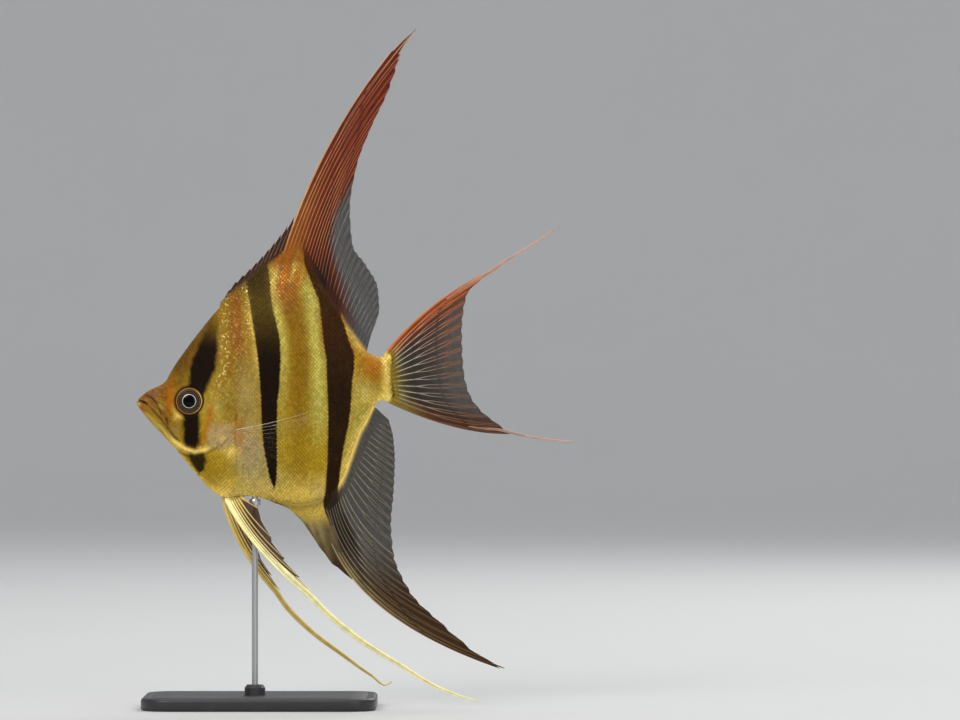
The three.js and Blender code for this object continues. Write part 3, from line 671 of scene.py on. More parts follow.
def flank_markings():
    """The fish's colours from the masks on its mesh, with mottling.

    Bars: the distance inside a bar, moved a little by noise, is stepped to a mask. The other masks mix
    their colours over the flank's gold one after another. The folds' colour is painted shade in the
    mouth slit, folds, gill slit, nostril and eye socket, and the pale-gold flecks are partly painted glints.
    """
    name = "angelfish_flank_markings"
    if name in bpy.data.node_groups:
        return bpy.data.node_groups[name]
    look = bpy.context.scene.angelfish_colours
    labels = ("gold", "ochre", "lemon", "silver", "rose", "cream", "brown", "orange", "olive", "bar", "fold_shade")
    group, given, result = new_group(
        name,
        [(label.title(), "NodeSocketColor", rgba(getattr(look, label))) for label in labels]
        + [("Mottle", "NodeSocketFloat", 0.5)],
        [("Color", "NodeSocketColor"), ("Dark", "NodeSocketFloat"), ("Shine", "NodeSocketFloat")],
    )
    w = Wires(group)
    ask = given.outputs
    bar, strong, fold_shade = w.parts("marks")
    ochre, cream, orange = w.parts("tones")
    silver, olive, fleck = w.parts("gleam")
    lemon, brown, rose = w.parts("stripes")
    mottle = w.unrest(ask["Mottle"], 900, 4)
    patch = w.unrest(0.45, 170, 3)
    streaks = w.unrest(0.6, 420, 2, stretch=(1.6, 1, 0.4))
    unrest = w.plus(w.plus(mottle, patch), streaks)

    def uneven(mask, amount):
        return w.times(mask, w.plus(1.0, w.times(unrest, amount)), clamp=True)

    color = ask["Gold"]
    for mask, label, amount in (
        (ochre, "Ochre", 1.8), (lemon, "Lemon", 0.9), (silver, "Silver", 0.9), (rose, "Rose", 0.9),
        (cream, "Cream", 0.6), (brown, "Brown", 2.4), (orange, "Orange", 1.1), (olive, "Olive", 0.9),
    ):
        color = w.blend(uneven(mask, amount), color, ask[label])
    threads = w.times(w.step(w.cells(700), 0.04, 0.24, 0.3, 0.0), silver)
    color = w.blend(threads, color, ask["Ochre"])
    # Pale-gold specks, partly painted glints: bright gold painted into the colour and also made metallic.
    flecked = w.times(fleck, w.step(w.noise(850, 1), 0.55, 0.66))
    color = w.blend(w.times(flecked, 0.75), color, (0.82, 0.64, 0.24, 1))
    color = w.shade(color, w.plus(1.0, w.times(unrest, 0.45)))
    ragged = w.plus(bar, w.unrest(0.09, 330, 3))
    dark = w.times(w.step(ragged, -0.04, 0.05), strong)
    color = w.blend(dark, color, ask["Bar"])
    # Painted shade in the mouth slit, folds, gill slit, nostril and eye socket.
    color = w.blend(uneven(fold_shade, 1.6), color, ask["Fold_Shade"])
    w.join(color, result.inputs["Color"])
    w.join(w.maths("MAXIMUM", dark, fold_shade), result.inputs["Dark"])
    shine = w.times(w.maths("MAXIMUM", silver, lemon), 0.7)
    w.join(w.maths("MAXIMUM", shine, flecked), result.inputs["Shine"])
    return group


def new_material(name, specular=0.5):
    """An empty material with its Principled shader, and the wires to fill it."""
    made = bpy.data.materials.new(name)
    made.use_nodes = True
    shader = next(n for n in made.node_tree.nodes if n.type == "BSDF_PRINCIPLED")
    shader.inputs["Specular IOR Level"].default_value = specular
    return made, shader.inputs, Wires(made.node_tree)


def place_group(w, group, **values):
    made = w.node("ShaderNodeGroup", node_tree=group)
    for key, value in values.items():
        w.join(value, made.inputs[key])
    return made.outputs


def skin_finish():
    """Wet-looking skin: the flank markings, fine pores in a net of shallow creases, painted shade along the
    creases, and a thin clear coat.
    """
    made, shader, w = new_material("angelfish_skin", 0.1)
    marks = place_group(w, flank_markings(), Mottle=0.7)
    pores = w.noise(2400, 3)
    net = w.cells(1250)
    creases = w.step(net, 0.0, 0.22)
    # Painted shade: the colour darkens along the creases of the net and lightens a little between them.
    w.join(w.shade(marks["Color"], w.step(net, 0.0, 0.3, 0.82, 1.04)), shader["Base Color"])
    rough = w.plus(0.38, w.times(pores, 0.18))
    w.join(w.plus(rough, w.times(marks["Dark"], 0.15)), shader["Roughness"])
    w.join(w.times(marks["Shine"], 0.3), shader["Metallic"])
    w.join(w.maths("MULTIPLY_ADD", marks["Dark"], -0.14, 0.15), shader["Coat Weight"])
    shader["Coat Roughness"].default_value = 0.22
    shader["Subsurface Weight"].default_value = 0.06
    shader["Subsurface Radius"].default_value = (0.002, 0.001, 0.0005)
    wrinkles = w.noise(700, 4, stretch=(1, 1, 1.8))
    height = w.plus(w.times(creases, 0.9), w.plus(w.times(pores, 0.4), wrinkles))
    w.join(w.bump(height, 0.35, 0.0002), shader["Normal"])
    return made


def scale_finish():
    """Horny scales: the flank markings, each scale lighter or darker by chance, a painted highlight at its
    free edge and painted shade at its root, growth rings and a gleam.
    """
    made, shader, w = new_material("angelfish_scales", 0.07)
    marks = place_group(w, flank_markings(), Mottle=0.3)
    each, along, across = w.parts("scale")
    lift = w.maths("MULTIPLY_ADD", each, 0.38, 0.84)
    # Painted highlight and shade: each scale is lighter at its free edge and darker at its root, which lies
    # under the scale in front.
    edge = w.step(along, 0.7, 1.0, 1.0, 1.14)
    root = w.step(along, 0.1, 0.6, 0.72, 1.0)
    level = w.times(w.times(lift, edge), root)
    w.join(w.shade(marks["Color"], level), shader["Base Color"])
    light = w.minus(1.0, marks["Dark"])
    gleam = w.maths("MULTIPLY_ADD", marks["Shine"], 0.4, 0.1)
    gleam = w.plus(gleam, w.step(each, 0.8, 1.0, 0.0, 0.3))
    w.join(w.times(gleam, w.maths("POWER", light, 2.0), clamp=True), shader["Metallic"])
    rough = w.maths("MULTIPLY_ADD", w.noise(3000, 2), 0.14, 0.36)
    rough = w.plus(rough, w.times(marks["Dark"], 0.16))
    w.join(w.plus(rough, w.times(each, -0.08)), shader["Roughness"])
    w.join(w.maths("MULTIPLY_ADD", light, 0.11, 0.005), shader["Coat Weight"])
    shader["Coat Roughness"].default_value = 0.22
    reach = w.plus(w.maths("POWER", w.minus(along, 0.1), 2.0), w.maths("POWER", w.times(across, 0.5), 2.0))
    reach = w.maths("SQRT", reach)
    rings = w.maths("SINE", w.times(reach, 46.0))
    w.join(w.bump(rings, 0.25, 0.00004), shader["Normal"])
    return made


def fin_web():
    """A fin's colours from the masks on its mesh: red, dark and pale web, with streaks along the rays.

    The ray's share is read too, so that the web darkens in the middle of each gap between two rays.
    """
    name = "angelfish_fin_web"
    if name in bpy.data.node_groups:
        return bpy.data.node_groups[name]
    look = bpy.context.scene.angelfish_colours
    group, given, result = new_group(
        name,
        [("Smoke", "NodeSocketColor", rgba(look.smoke)), ("Red", "NodeSocketColor", rgba(look.fin_red)),
         ("Dark", "NodeSocketColor", rgba(look.bar)), ("Pale", "NodeSocketColor", rgba(look.fin_pale)),
         ("Streaks", "NodeSocketFloat", 0.5)],
        [("Color", "NodeSocketColor"), ("Alpha", "NodeSocketFloat")],
    )
    w = Wires(group)
    ask = given.outputs
    red, dark, pale = w.parts("web")
    across, along, solid = w.parts("ray")
    run = w.node("ShaderNodeCombineXYZ")
    w.join(w.times(across, 2.2), run.inputs[0])
    w.join(w.times(along, 14.0), run.inputs[1])
    shift = w.unrest(ask["Streaks"], 1.0, 3, vector=run.outputs[0])
    mottle = w.unrest(0.5, 240, 3)
    unrest = w.plus(1.0, w.plus(shift, mottle))
    color = ask["Smoke"]
    for mask, label in ((red, "Red"), (pale, "Pale"), (dark, "Dark")):
        color = w.blend(w.times(mask, unrest, clamp=True), color, ask[label])
    gap = w.maths("ABSOLUTE", w.minus(w.maths("FRACT", across), 0.5))
    shade = w.step(gap, 0.0, 0.5, 0.68, 1.15)
    w.join(w.shade(color, w.plus(shade, mottle)), result.inputs["Color"])
    w.join(w.plus(solid, w.times(shift, 0.35), clamp=True), result.inputs["Alpha"])
    return group


def fleshy(w, streaks, colours):
    """The fin's colour and how solid it is, turning into the flank's own colours at the fleshy foot."""
    own = {key: rgba(value) for key, value in zip(("Smoke", "Red", "Pale"), colours) if value}
    web = place_group(w, fin_web(), Streaks=streaks, **own)
    flank = place_group(w, flank_markings(), Mottle=0.5)
    flesh = w.number("flesh")
    return w.blend(flesh, web["Color"], flank["Color"]), w.maths("MAXIMUM", web["Alpha"], flesh)


def web_finish(name, colours, streaks):
    """Thin, slightly see-through fin web over its rays."""
    made, shader, w = new_material(name, 0.12)
    color, alpha = fleshy(w, streaks, colours)
    w.join(color, shader["Base Color"])
    w.join(alpha, shader["Alpha"])
    shader["Roughness"].default_value = 0.46
    shader["Coat Weight"].default_value = 0.06
    shader["Coat Roughness"].default_value = 0.25
    w.join(w.bump(w.noise(1500, 3), 0.2, 0.0001), shader["Normal"])
    return made


def ray_finish(name, colours):
    """Fin rays: jointed bony rods, with a fine band at each joint."""
    made, shader, w = new_material(name, 0.16)
    color, alpha = fleshy(w, 0.3, colours)
    along = w.maths("FRACT", w.times(w.number("run"), 1.1))
    band = w.step(w.maths("ABSOLUTE", w.minus(along, 0.5)), 0.0, 0.09, 0.66, 1.0)
    w.join(w.shade(color, band), shader["Base Color"])
    w.join(alpha, shader["Alpha"])
    w.join(w.bump(band, 0.3, 0.00006), shader["Normal"])
    shader["Roughness"].default_value = 0.4
    shader["Coat Weight"].default_value = 0.12
    shader["Coat Roughness"].default_value = 0.2
    return made


# The smoky, red and pale colour of each fin's web and of its rays; None keeps the colour of the settings.
FIN_COLOURS = {
    "dorsal": (
        ((0.018, 0.014, 0.011), None, (0.38, 0.12, 0.008)),
        ((0.25, 0.24, 0.22), (0.33, 0.085, 0.022), (0.60, 0.33, 0.12)),
    ),
    "anal": (
        ((0.024, 0.018, 0.009), (0.048, 0.021, 0.005), (0.28, 0.215, 0.085)),
        ((0.26, 0.215, 0.145), (0.135, 0.058, 0.018), (0.42, 0.31, 0.14)),
    ),
    "tail": (
        ((0.030, 0.021, 0.011), (0.28, 0.060, 0.012), (0.26, 0.18, 0.022)),
        ((0.20, 0.13, 0.075), (0.56, 0.150, 0.036), (0.34, 0.38, 0.34)),
    ),
    "pelvic": (
        ((0.40, 0.26, 0.04), (0.10, 0.040, 0.012), (0.78, 0.66, 0.22)),
        ((0.62, 0.41, 0.05), (0.26, 0.11, 0.025), (0.92, 0.84, 0.42)),
    ),
    "pectoral": (
        ((0.62, 0.58, 0.40), None, None),
        ((0.66, 0.60, 0.38), None, (0.90, 0.84, 0.62)),
    ),
}
TAIL_STREAMER_COLOURS = (0.20, 0.09, 0.05), (0.48, 0.16, 0.06), (0.64, 0.44, 0.36)


def fin_finishes(fin, streaks=0.6):
    """The materials of a fin's web and rays."""
    web, rays = FIN_COLOURS[fin]
    return web_finish(f"{fin}_web", web, streaks), ray_finish(f"{fin}_rays", rays)


# ---------- skin


def station_spacing(x):
    """Millimetres between the skin's stations: finest at the lips, widest on the trunk."""
    return 0.2 + 0.16 * smooth(-101, -94, x) + 0.36 * smooth(-60, -50, x) - 0.2 * smooth(2, 12, x)


def body_stations(first, last):
    """Places along the body whose gaps follow station_spacing: equal steps of the summed inverse spacing."""
    x = np.linspace(first, last, 4000)
    run = np.append(0, np.cumsum(np.diff(x) / station_spacing(x[1:])))
    return np.interp(np.linspace(0, run[-1], int(run[-1]) + 1), run, x)


def skin_shape(rows):
    """The closed skin: stations from snout to tail, each a loop up the left flank and down the right one.

    Heights crowd to the back and belly lines as minus the cosine of equal steps. Both ends shrink to a point.
    """
    first, last = SNOUT_X + 0.35, TAIL_X - 1.0
    x = body_stations(first, last)
    t = -np.cos(np.pi * np.arange(rows) / (rows - 1))
    stations, heights = np.broadcast_arrays(x[:, None], t[None])
    stations = stations + smooth(6.0, last, x)[:, None] * (tail_rear(heights) + 0.9 - last)
    left, right = skin_point(stations, heights, LEFT), skin_point(stations, heights, RIGHT)
    loop = np.concatenate([left, right[:, ::-1]], 1)
    ends = np.stack([loop[0].mean(0), loop[-1].mean(0)])
    ends[0, 0] -= 0.12
    return np.concatenate([loop.reshape(-1, 3), ends]), closed_faces(*loop.shape[:2])


# ---------- scales

# In mm: the table's step and reach round the section, how deep the surface lies that the scales are laid out
# on, and where the coat's pieces meet on head and trunk.
ARC_STEP, ARC_REACH, LAYOUT_DEPTH = 0.5, 84, 0.3
GILL_END, TRUNK_END = -62.0, -33.0
# A scale's length and width in units of the distances between scales, the share of its length that lies
# before its place, and the length of its patch in the bake map.
SCALE_LENGTH, SCALE_WIDTH, SCALE_ROOT = 1.6, 2.25, 0.42
BAKE_PATCH = 0.003


def long_axis(x):
    """Height of the fish's long axis, from the eye to the tail."""
    return 147.0 + (x - GILL_X) * 0.16


def flat_place(x, q):
    """A place as shares of the flattened flank: x along it, q round the section from the long axis."""
    return (x - SNOUT_X) / (TAIL_X + 4 - SNOUT_X), (q + ARC_REACH) / (2 * ARC_REACH)


def arc_table():
    """Height shares by station and by distance round the section from the fish's long axis.

    At each station the distance is summed along the section from belly to back and turned round into
    the share at every half millimetre, above and below the line from the eye to the tail.
    """
    stations = np.linspace(SNOUT_X + 1, TAIL_X - 0.6, 260)
    shares = -np.cos(np.linspace(0.03, np.pi - 0.03, 400))
    reach = np.arange(-ARC_REACH, ARC_REACH + ARC_STEP, ARC_STEP)
    grid = body_point(stations[:, None], shares[None], LEFT, LAYOUT_DEPTH)
    run = np.hypot(np.diff(grid[..., 1]), np.diff(grid[..., 2])).cumsum(1)
    run = np.concatenate([np.zeros((len(stations), 1)), run], 1)
    table = np.stack([
        np.interp(reach, row - np.interp(height, section[:, 2], row), shares, left=-9, right=9)
        for row, height, section in zip(run, long_axis(stations), grid)
    ])
    return stations, reach, table


def share_at(table, x, q):
    """The height share at a station and distance round the section, mixed from four table neighbours."""
    stations, reach, shares = table
    i = np.clip((x - stations[0]) / (stations[1] - stations[0]), 0, len(stations) - 1.001)
    j = np.clip((q - reach[0]) / ARC_STEP, 0, len(reach) - 1.001)
    i0, j0 = i.astype(int), j.astype(int)
    a, b = i - i0, j - j0
    low = shares[i0, j0] * (1 - b) + shares[i0, j0 + 1] * b
    high = shares[i0 + 1, j0] * (1 - b) + shares[i0 + 1, j0 + 1] * b
    return low * (1 - a) + high * a


def scale_pitch(x):
    """Distance along a row between scales, and between rows: small on the head, larger on the trunk."""
    body = bpy.context.scene.angelfish_body
    grown = smooth(-98, -52, x)
    pitch = (body.head_pitch + (body.scale_pitch - body.head_pitch) * grown) / MM
    return pitch, (body.head_rows + (body.scale_rows - body.head_rows) * grown) / MM


def scale_lattice():
    """Staggered places of scales: columns whose gaps are the pitch, rows that fan out from the head."""
    x = np.linspace(SNOUT_X, TAIL_X + 3, 4000)
    run = np.append(0, np.cumsum(np.diff(x) / scale_pitch(x[1:])[0]))
    column, row = np.meshgrid(np.arange(1, int(run[-1]) - 1), np.arange(-120, 121), indexing="ij")
    x = np.interp(column + row % 2 * 0.5, run, x).ravel()
    q = row.ravel() * scale_pitch(x)[1]
    keep = np.abs(q) < 83
    return x[keep], q[keep]


def scale_plate():
    """One scale as shares: along from root to free edge, across from -1 to 1, and the two faces' heights.

    The free edge is rounded: its corners are drawn forward by 0.42 of the square of the place across.
    The top is domed across; the underside shares the rim's points.
    """
    along, across = np.meshgrid(np.array([0.0, 0.45, 0.8, 1.0]), np.linspace(-1, 1, 5), indexing="ij")
    run = along * (1 - 0.42 * across**2 * along)
    wide = across * (0.74 + 0.26 * np.sin(np.pi * np.clip(along, 0, 0.75) / 0.75 * 0.5))
    top = -0.16 + 0.42 * along**0.8 - 0.07 * across**2 * (0.3 + along)
    rim = np.zeros(along.shape, bool)
    rim[[0, -1]] = True
    rim[:, [0, -1]] = True
    inner = ~rim
    points = np.stack([run, wide, top, along, across], -1).reshape(-1, 5)
    under = points[inner.ravel()].copy()
    under[:, 2] -= 0.13
    upper_faces = grid_faces(4, 5)
    renumber = np.arange(20)
    renumber[inner.ravel()] = 20 + np.arange(inner.sum())
    lower_faces = renumber[upper_faces][:, ::-1]
    return np.concatenate([points, under]), np.concatenate([upper_faces, lower_faces])


def scale_data(plate, each, u, v):
    """The marks of a set of scales (chance number, along, across) and each scale's patch of the bake map."""
    along, across = plate[:, 3], plate[:, 4]
    marks = [np.repeat(each, len(plate)), np.tile(along, len(each)), np.tile(across, len(each))]
    bake = [u[:, None] + BAKE_PATCH * (along - 0.5), v[:, None] + BAKE_PATCH / 2 * across]
    return np.stack(marks, -1), np.stack(bake, -1).reshape(-1, 2)


def scale_coat(places, side, table, rng):
    """All scales of one stretch of one flank: each plate is laid on the skin and follows the body's curve."""
    x, q = places
    length, width = scale_pitch(x)
    length, width = length[:, None] * SCALE_LENGTH, width[:, None] * SCALE_WIDTH
    plate, faces = scale_plate()
    turn = rng.normal(0, 0.05, len(x))[:, None]
    grow = rng.uniform(0.94, 1.06, len(x))[:, None]
    tilt = rng.normal(1.0, 0.16, len(x))[:, None]
    run = (plate[:, 0] - SCALE_ROOT) * length * grow
    wide = plate[:, 1] * width / 2 * grow
    at_x = x[:, None] + run * np.cos(turn) - wide * np.sin(turn)
    at_q = q[:, None] + run * np.sin(turn) + wide * np.cos(turn)
    t = np.clip(share_at(table, at_x, at_q), -0.999, 0.999)
    lift = plate[:, 2] * (0.55 + 0.45 * length / 2.6) * (1 + (tilt - 1) * plate[:, 3])
    points = skin_point(at_x, t, side, lift)
    mid_t = np.clip(share_at(table, x, q), -0.999, 0.999)
    root = body_point(x, mid_t, side, LAYOUT_DEPTH)[:, None, ::2]
    mark_x, mark_z = np.moveaxis(root * 0.3 + points[..., ::2] * 0.7, -1, 0).reshape(2, -1)
    marks = body_marks(mark_x, mark_z)
    marks["scale"], bake = scale_data(plate, rng.uniform(0, 1, len(x)), *flat_place(x, q))
    return points.reshape(-1, 3), copied_faces(faces, len(x), len(plate)), marks, bake


def keep_scales(places, table):
    """Drops the places off the body and on the eye, lips, jaw, gill slit and the pectoral fin's foot."""
    x, q = places
    t = share_at(table, x, q)
    inside = (np.abs(t) < 0.998) & (x < tail_rear(np.clip(t, -1, 1)) - 0.5)
    z = flank_z(x, np.clip(t, -1, 1))
    eye = np.hypot(x - EYE_X, z - EYE_Z)
    gill, share = near_line(x, z, GILL_EDGE)
    slit = (np.abs(gill) < 0.75) & (share > 0.02) & (share < 0.6)
    jaw, jaw_share = near_line(x, z, JAW_STREAK)
    streak = (np.abs(jaw) < 1.3) & (jaw_share < 0.97)
    lips = x < -89 - 5 * smooth(128, 150, z) + 6 * smooth(150, 158, z)
    base = np.hypot((x - PECTORAL_BASE[0]) * 1.7, z - PECTORAL_BASE[1]) < 4.6
    keep = inside & (eye > 8.2) & ~slit & ~lips & ~streak & ~base
    return x[keep], q[keep]


# ---------- fins

# A place on a fin: side view x and z, its ray's number, the share v of the ray, its distance from the foot.
Spot = namedtuple("Spot", "x z place v reach")
# Cells of web between two rays, points round a ray, its depth as a share of its width, and in mm the
# distances between the scales of a fin's foot along a row and between rows.
WEB_CELLS, ROD_SIDES, ROD_DEPTH = 4, 6, 0.85
SHEATH_PITCH, SHEATH_ROWS = 1.02, 0.62


def fin_root(line, from_x, to_x, rise):
    """A fin's foot in equal steps along a body line, moved up square to the line; a negative rise is down."""
    x = np.linspace(from_x, to_x, 400)
    z = line(x)
    run = np.append(0, np.cumsum(np.hypot(np.diff(x), np.diff(z))))
    dx, dz = np.gradient(x), np.gradient(z)
    size = np.hypot(dx, dz)
    foot_x, foot_z = x - dz / size * rise, z + dx / size * rise
    return lambda u: (np.interp(u, run / run[-1], foot_x), np.interp(u, run / run[-1], foot_z))


def straight_root(start, end):
    """A straight fin foot between two places in side view."""
    return lambda u: (start[0] + (end[0] - start[0]) * u, start[1] + (end[1] - start[1]) * u)


def tail_root(u):
    """The tail fin's foot: the rounded rear edge of the flesh, from top to bottom."""
    t = 1 - 2 * u
    x = tail_rear(t) - 1.6
    return x, flank_z(x, t)


def ray_fan(root, rays):
    """A fan: the ray at share u of the root is the arc whose middle control point is bowed sideways.

    Each leading ray is (share, tip x, tip z, bow, lean). The arc is (1-v)^2 foot + 2v(1-v) middle + v^2 tip,
    and its middle is halfway, plus bow times the ray turned a quarter, plus lean times the ray.
    """
    keys = np.array([tuple(ray) + (0,) * (5 - len(ray)) for ray in rays], float)
    tip_x, tip_z, bow, lean = (line_through(keys[:, [0, n]]) for n in range(1, 5))

    def fan(u, v):
        foot_x, foot_z = root(u)
        end_x, end_z = tip_x(u), tip_z(u)
        run_x, run_z = end_x - foot_x, end_z - foot_z
        mid_x = (foot_x + end_x) / 2 - run_z * bow(u) + run_x * lean(u)
        mid_z = (foot_z + end_z) / 2 + run_x * bow(u) + run_z * lean(u)
        a, b, c = (1 - v) ** 2, 2 * v * (1 - v), v * v
        return a * foot_x + b * mid_x + c * end_x, a * foot_z + b * mid_z + c * end_z

    return fan


def drifting(start, per_mm):
    """Sideways drift of a long fin: nothing for 30 mm from its start, then so much for each millimetre."""
    return lambda x, z: per_mm * np.maximum(0, np.hypot(x - start[0], z - start[1]) - 30)


def flat_cut(rows, columns):
    """Faces that close the first and last rows of a loop made of two facing halves, `columns` points each."""
    j = np.arange(columns - 1)
    other = 2 * columns - 1 - j
    first = np.stack([j + 1, j, other, other - 1], -1)
    last = (rows - 1) * 2 * columns + np.stack([j, j + 1, other - 1, other], -1)
    return np.concatenate([first, last])


def web_half(v, reach, thick, swell):
    """Half a web's thickness: it falls as the root of v, and swells at the foot as a bell of the distance."""
    return (thick[0] + (thick[1] - thick[0]) * np.sqrt(np.clip(v, 0, 1))) / 2 + swell * hump(reach, 4.0)


def web_shape(fan, part, gaps, rows, thick, sway, pleat, scallop, swell):
    """A fin's web as a thin closed sheet, and the Spot of each of its points.

    Across, each gap between two rays has four cells; along, v runs from foot to tip. Between rays the
    tip is drawn back by scallop times the squared sine of the place in the gap. The sheet's middle sways
    and is pleated by a cosine with a crest at every ray.
    """
    u = np.linspace(part[0], part[1], gaps * WEB_CELLS + 1)
    place = gaps * (u - part[0]) / (part[1] - part[0])
    v = np.linspace(0, 1, rows)[:, None] ** 1.2 * (1 - scallop * np.sin(np.pi * place) ** 2)
    x, z = fan(u[None] + 0 * v, v)
    foot_x, foot_z = fan(u[None], 0 * u[None])
    reach = np.hypot(x - foot_x, z - foot_z)
    middle = sway(x, z) + pleat * np.cos(2 * np.pi * place)[None] * smooth(4, 14, reach)
    half = web_half(v, reach, thick, swell)
    near = np.stack([x, middle - half, z], -1)
    far = np.stack([x, middle + half, z], -1)[:, ::-1]
    loop = np.concatenate([near, far], 1)
    faces = np.concatenate([grid_faces(rows, loop.shape[1], wrap=True), flat_cut(rows, len(u))])
    given = x, z, np.broadcast_to(place[None], v.shape), v, reach
    return loop, faces, Spot(*(np.concatenate([values, values[:, ::-1]], 1) for values in given))


def rods(fan, u_from, u_to, v_from, v_to, radius, rings, sway):
    """Bony rods along a fan, and where their rings lie: each rod's u slides from u_from to u_to on the way.

    A rod is a ring of points round the arc, wide in the fin's own sheet and flatter across it, whose
    radius runs from radius[0] to radius[1] and closes at both ends.
    """
    u_from, u_to = np.asarray(u_from, float)[:, None], np.asarray(u_to, float)[:, None]
    s = np.linspace(0, 1, rings)[None]
    v = v_from + (v_to - v_from) * s + 0 * u_from
    u = u_from + (u_to - u_from) * smooth(0, 0.6, s)
    x, z = fan(u, v)
    ahead_x, ahead_z = fan(u, v + 0.004)
    run_x, run_z = ahead_x - x, ahead_z - z
    size = np.maximum(np.hypot(run_x, run_z), 1e-9)
    y = sway(x, z)
    width = radius[0] + (radius[1] - radius[0]) * s + 0 * v
    width = width * np.where((s == 0) | (s == 1), 0.4, 1)
    turn = np.linspace(0, 2 * np.pi, ROD_SIDES, endpoint=False)
    wide, deep = width[..., None] * np.cos(turn), width[..., None] * np.sin(turn) * ROD_DEPTH
    across_x, across_z = -run_z / size, run_x / size
    points = np.stack([
        x[..., None] + across_x[..., None] * wide,
        y[..., None] + deep,
        z[..., None] + across_z[..., None] * wide,
    ], -1)
    foot_x, foot_z = fan(u, 0 * v)
    return points, x, z, u, v, np.hypot(x - foot_x, z - foot_z)


def rod_faces(count, rings, sides):
    """Faces of `count` closed rods of six or more sides; each end is closed by a strip of cells."""
    body = grid_faces(rings, sides, wrap=True)
    pairs = np.arange(1, sides - 2, 2)
    cap = np.stack([0 * pairs, pairs, pairs + 1, pairs + 2], -1)
    one = np.concatenate([body, cap[:, ::-1], (rings - 1) * sides + cap])
    return copied_faces(one, count, rings * sides)


def ray_set(fan, part, gaps, sway, radii, splits, leading):
    """All rays of a fin part: a stem, two branches and four twigs for each ray, joined into one set.

    Each part is (u at its start and end, v at its start and end, radii, rings). Branches slide apart by
    0.19 of a gap, and twigs by 0.1 more. `leading` thickens the first ray, which stays whole. Returns
    points, faces and the Spot of each point.
    """
    step = (part[1] - part[0]) / gaps
    u = np.linspace(part[0], part[1], gaps + 1)
    first, rest = u[:1], u[1:]
    r0, r1, r2, r3 = radii
    plans = [(first, first, 0.0, 1.0, (r0 * leading, r3 * 1.6), 40)]
    if splits is None:
        plans.append((rest, rest, 0.0, 1.0, (r0, r3), 24))
    else:
        a, b = splits
        twins = np.array([-0.19, 0.19]) * step
        twigs = np.array([-0.1, 0.1]) * step
        forks = (rest[:, None] + twins).ravel()
        plans.append((rest, rest, 0.0, a + 0.02, (r0, r1), 18))
        plans.append((np.repeat(rest, 2), forks, a, b + 0.01, (r1 * 0.85, r2), 14))
        plans.append((np.repeat(forks, 2), (forks[:, None] + twigs).ravel(), b, 1.0, (r2 * 0.85, r3), 14))
    points, faces, spots, total = [], [], [], 0
    for u_from, u_to, v_from, v_to, radius, rings in plans:
        u_from, u_to = np.clip(u_from, *part), np.clip(u_to, *part)
        made, x, z, at_u, at_v, reach = rods(fan, u_from, u_to, v_from, v_to, radius, rings, sway)
        faces.append(rod_faces(len(made), rings, ROD_SIDES) + total)
        total += made[..., 0].size
        points.append(made.reshape(-1, 3))
        given = x, z, (at_u - part[0]) / step, at_v, reach
        spots.append([np.repeat(values.ravel(), ROD_SIDES) for values in given])
    at = Spot(*(np.concatenate(given) for given in zip(*spots)))
    return np.concatenate(points), np.concatenate(faces), at


def fin_marks(at, paint):
    """The masks of a fin: paint gives any of red, dark, pale, solid and flesh for each place on it."""
    given = {"red": 0, "dark": 0, "pale": 0, "solid": 1, "flesh": 0, **paint(at)}
    red, dark, pale, solid, flesh = (
        np.clip(np.broadcast_to(mask, at.x.shape), 0, 1).ravel() for mask in given.values()
    )
    return {
        "web": np.stack([red, dark, pale], -1),
        "ray": np.stack([at.place.ravel(), at.v.ravel(), solid], -1),
        "run": at.reach.ravel(),
        "flesh": flesh,
        **body_marks(at.x.ravel(), at.z.ravel()),
    }


def make_fin(name, node, fan, part, gaps, rows, sway, materials, paints, thick, radii, pleat,
             scallop=0.02, splits=(0.45, 0.72), leading=1.0, swell=0.0):
    """One part of a fin: its web, which stands for the solid blade, and its rays."""
    points, faces, at = web_shape(fan, part, gaps, rows, thick, sway, pleat, scallop, swell)
    piece(f"{name}_web", points, faces, materials[0], (node,), fin_marks(at, paints[0]))
    points, faces, at = ray_set(fan, part, gaps, sway, radii, splits, leading)
    piece(f"{name}_rays", points, faces, materials[1], (), fin_marks(at, paints[1]))


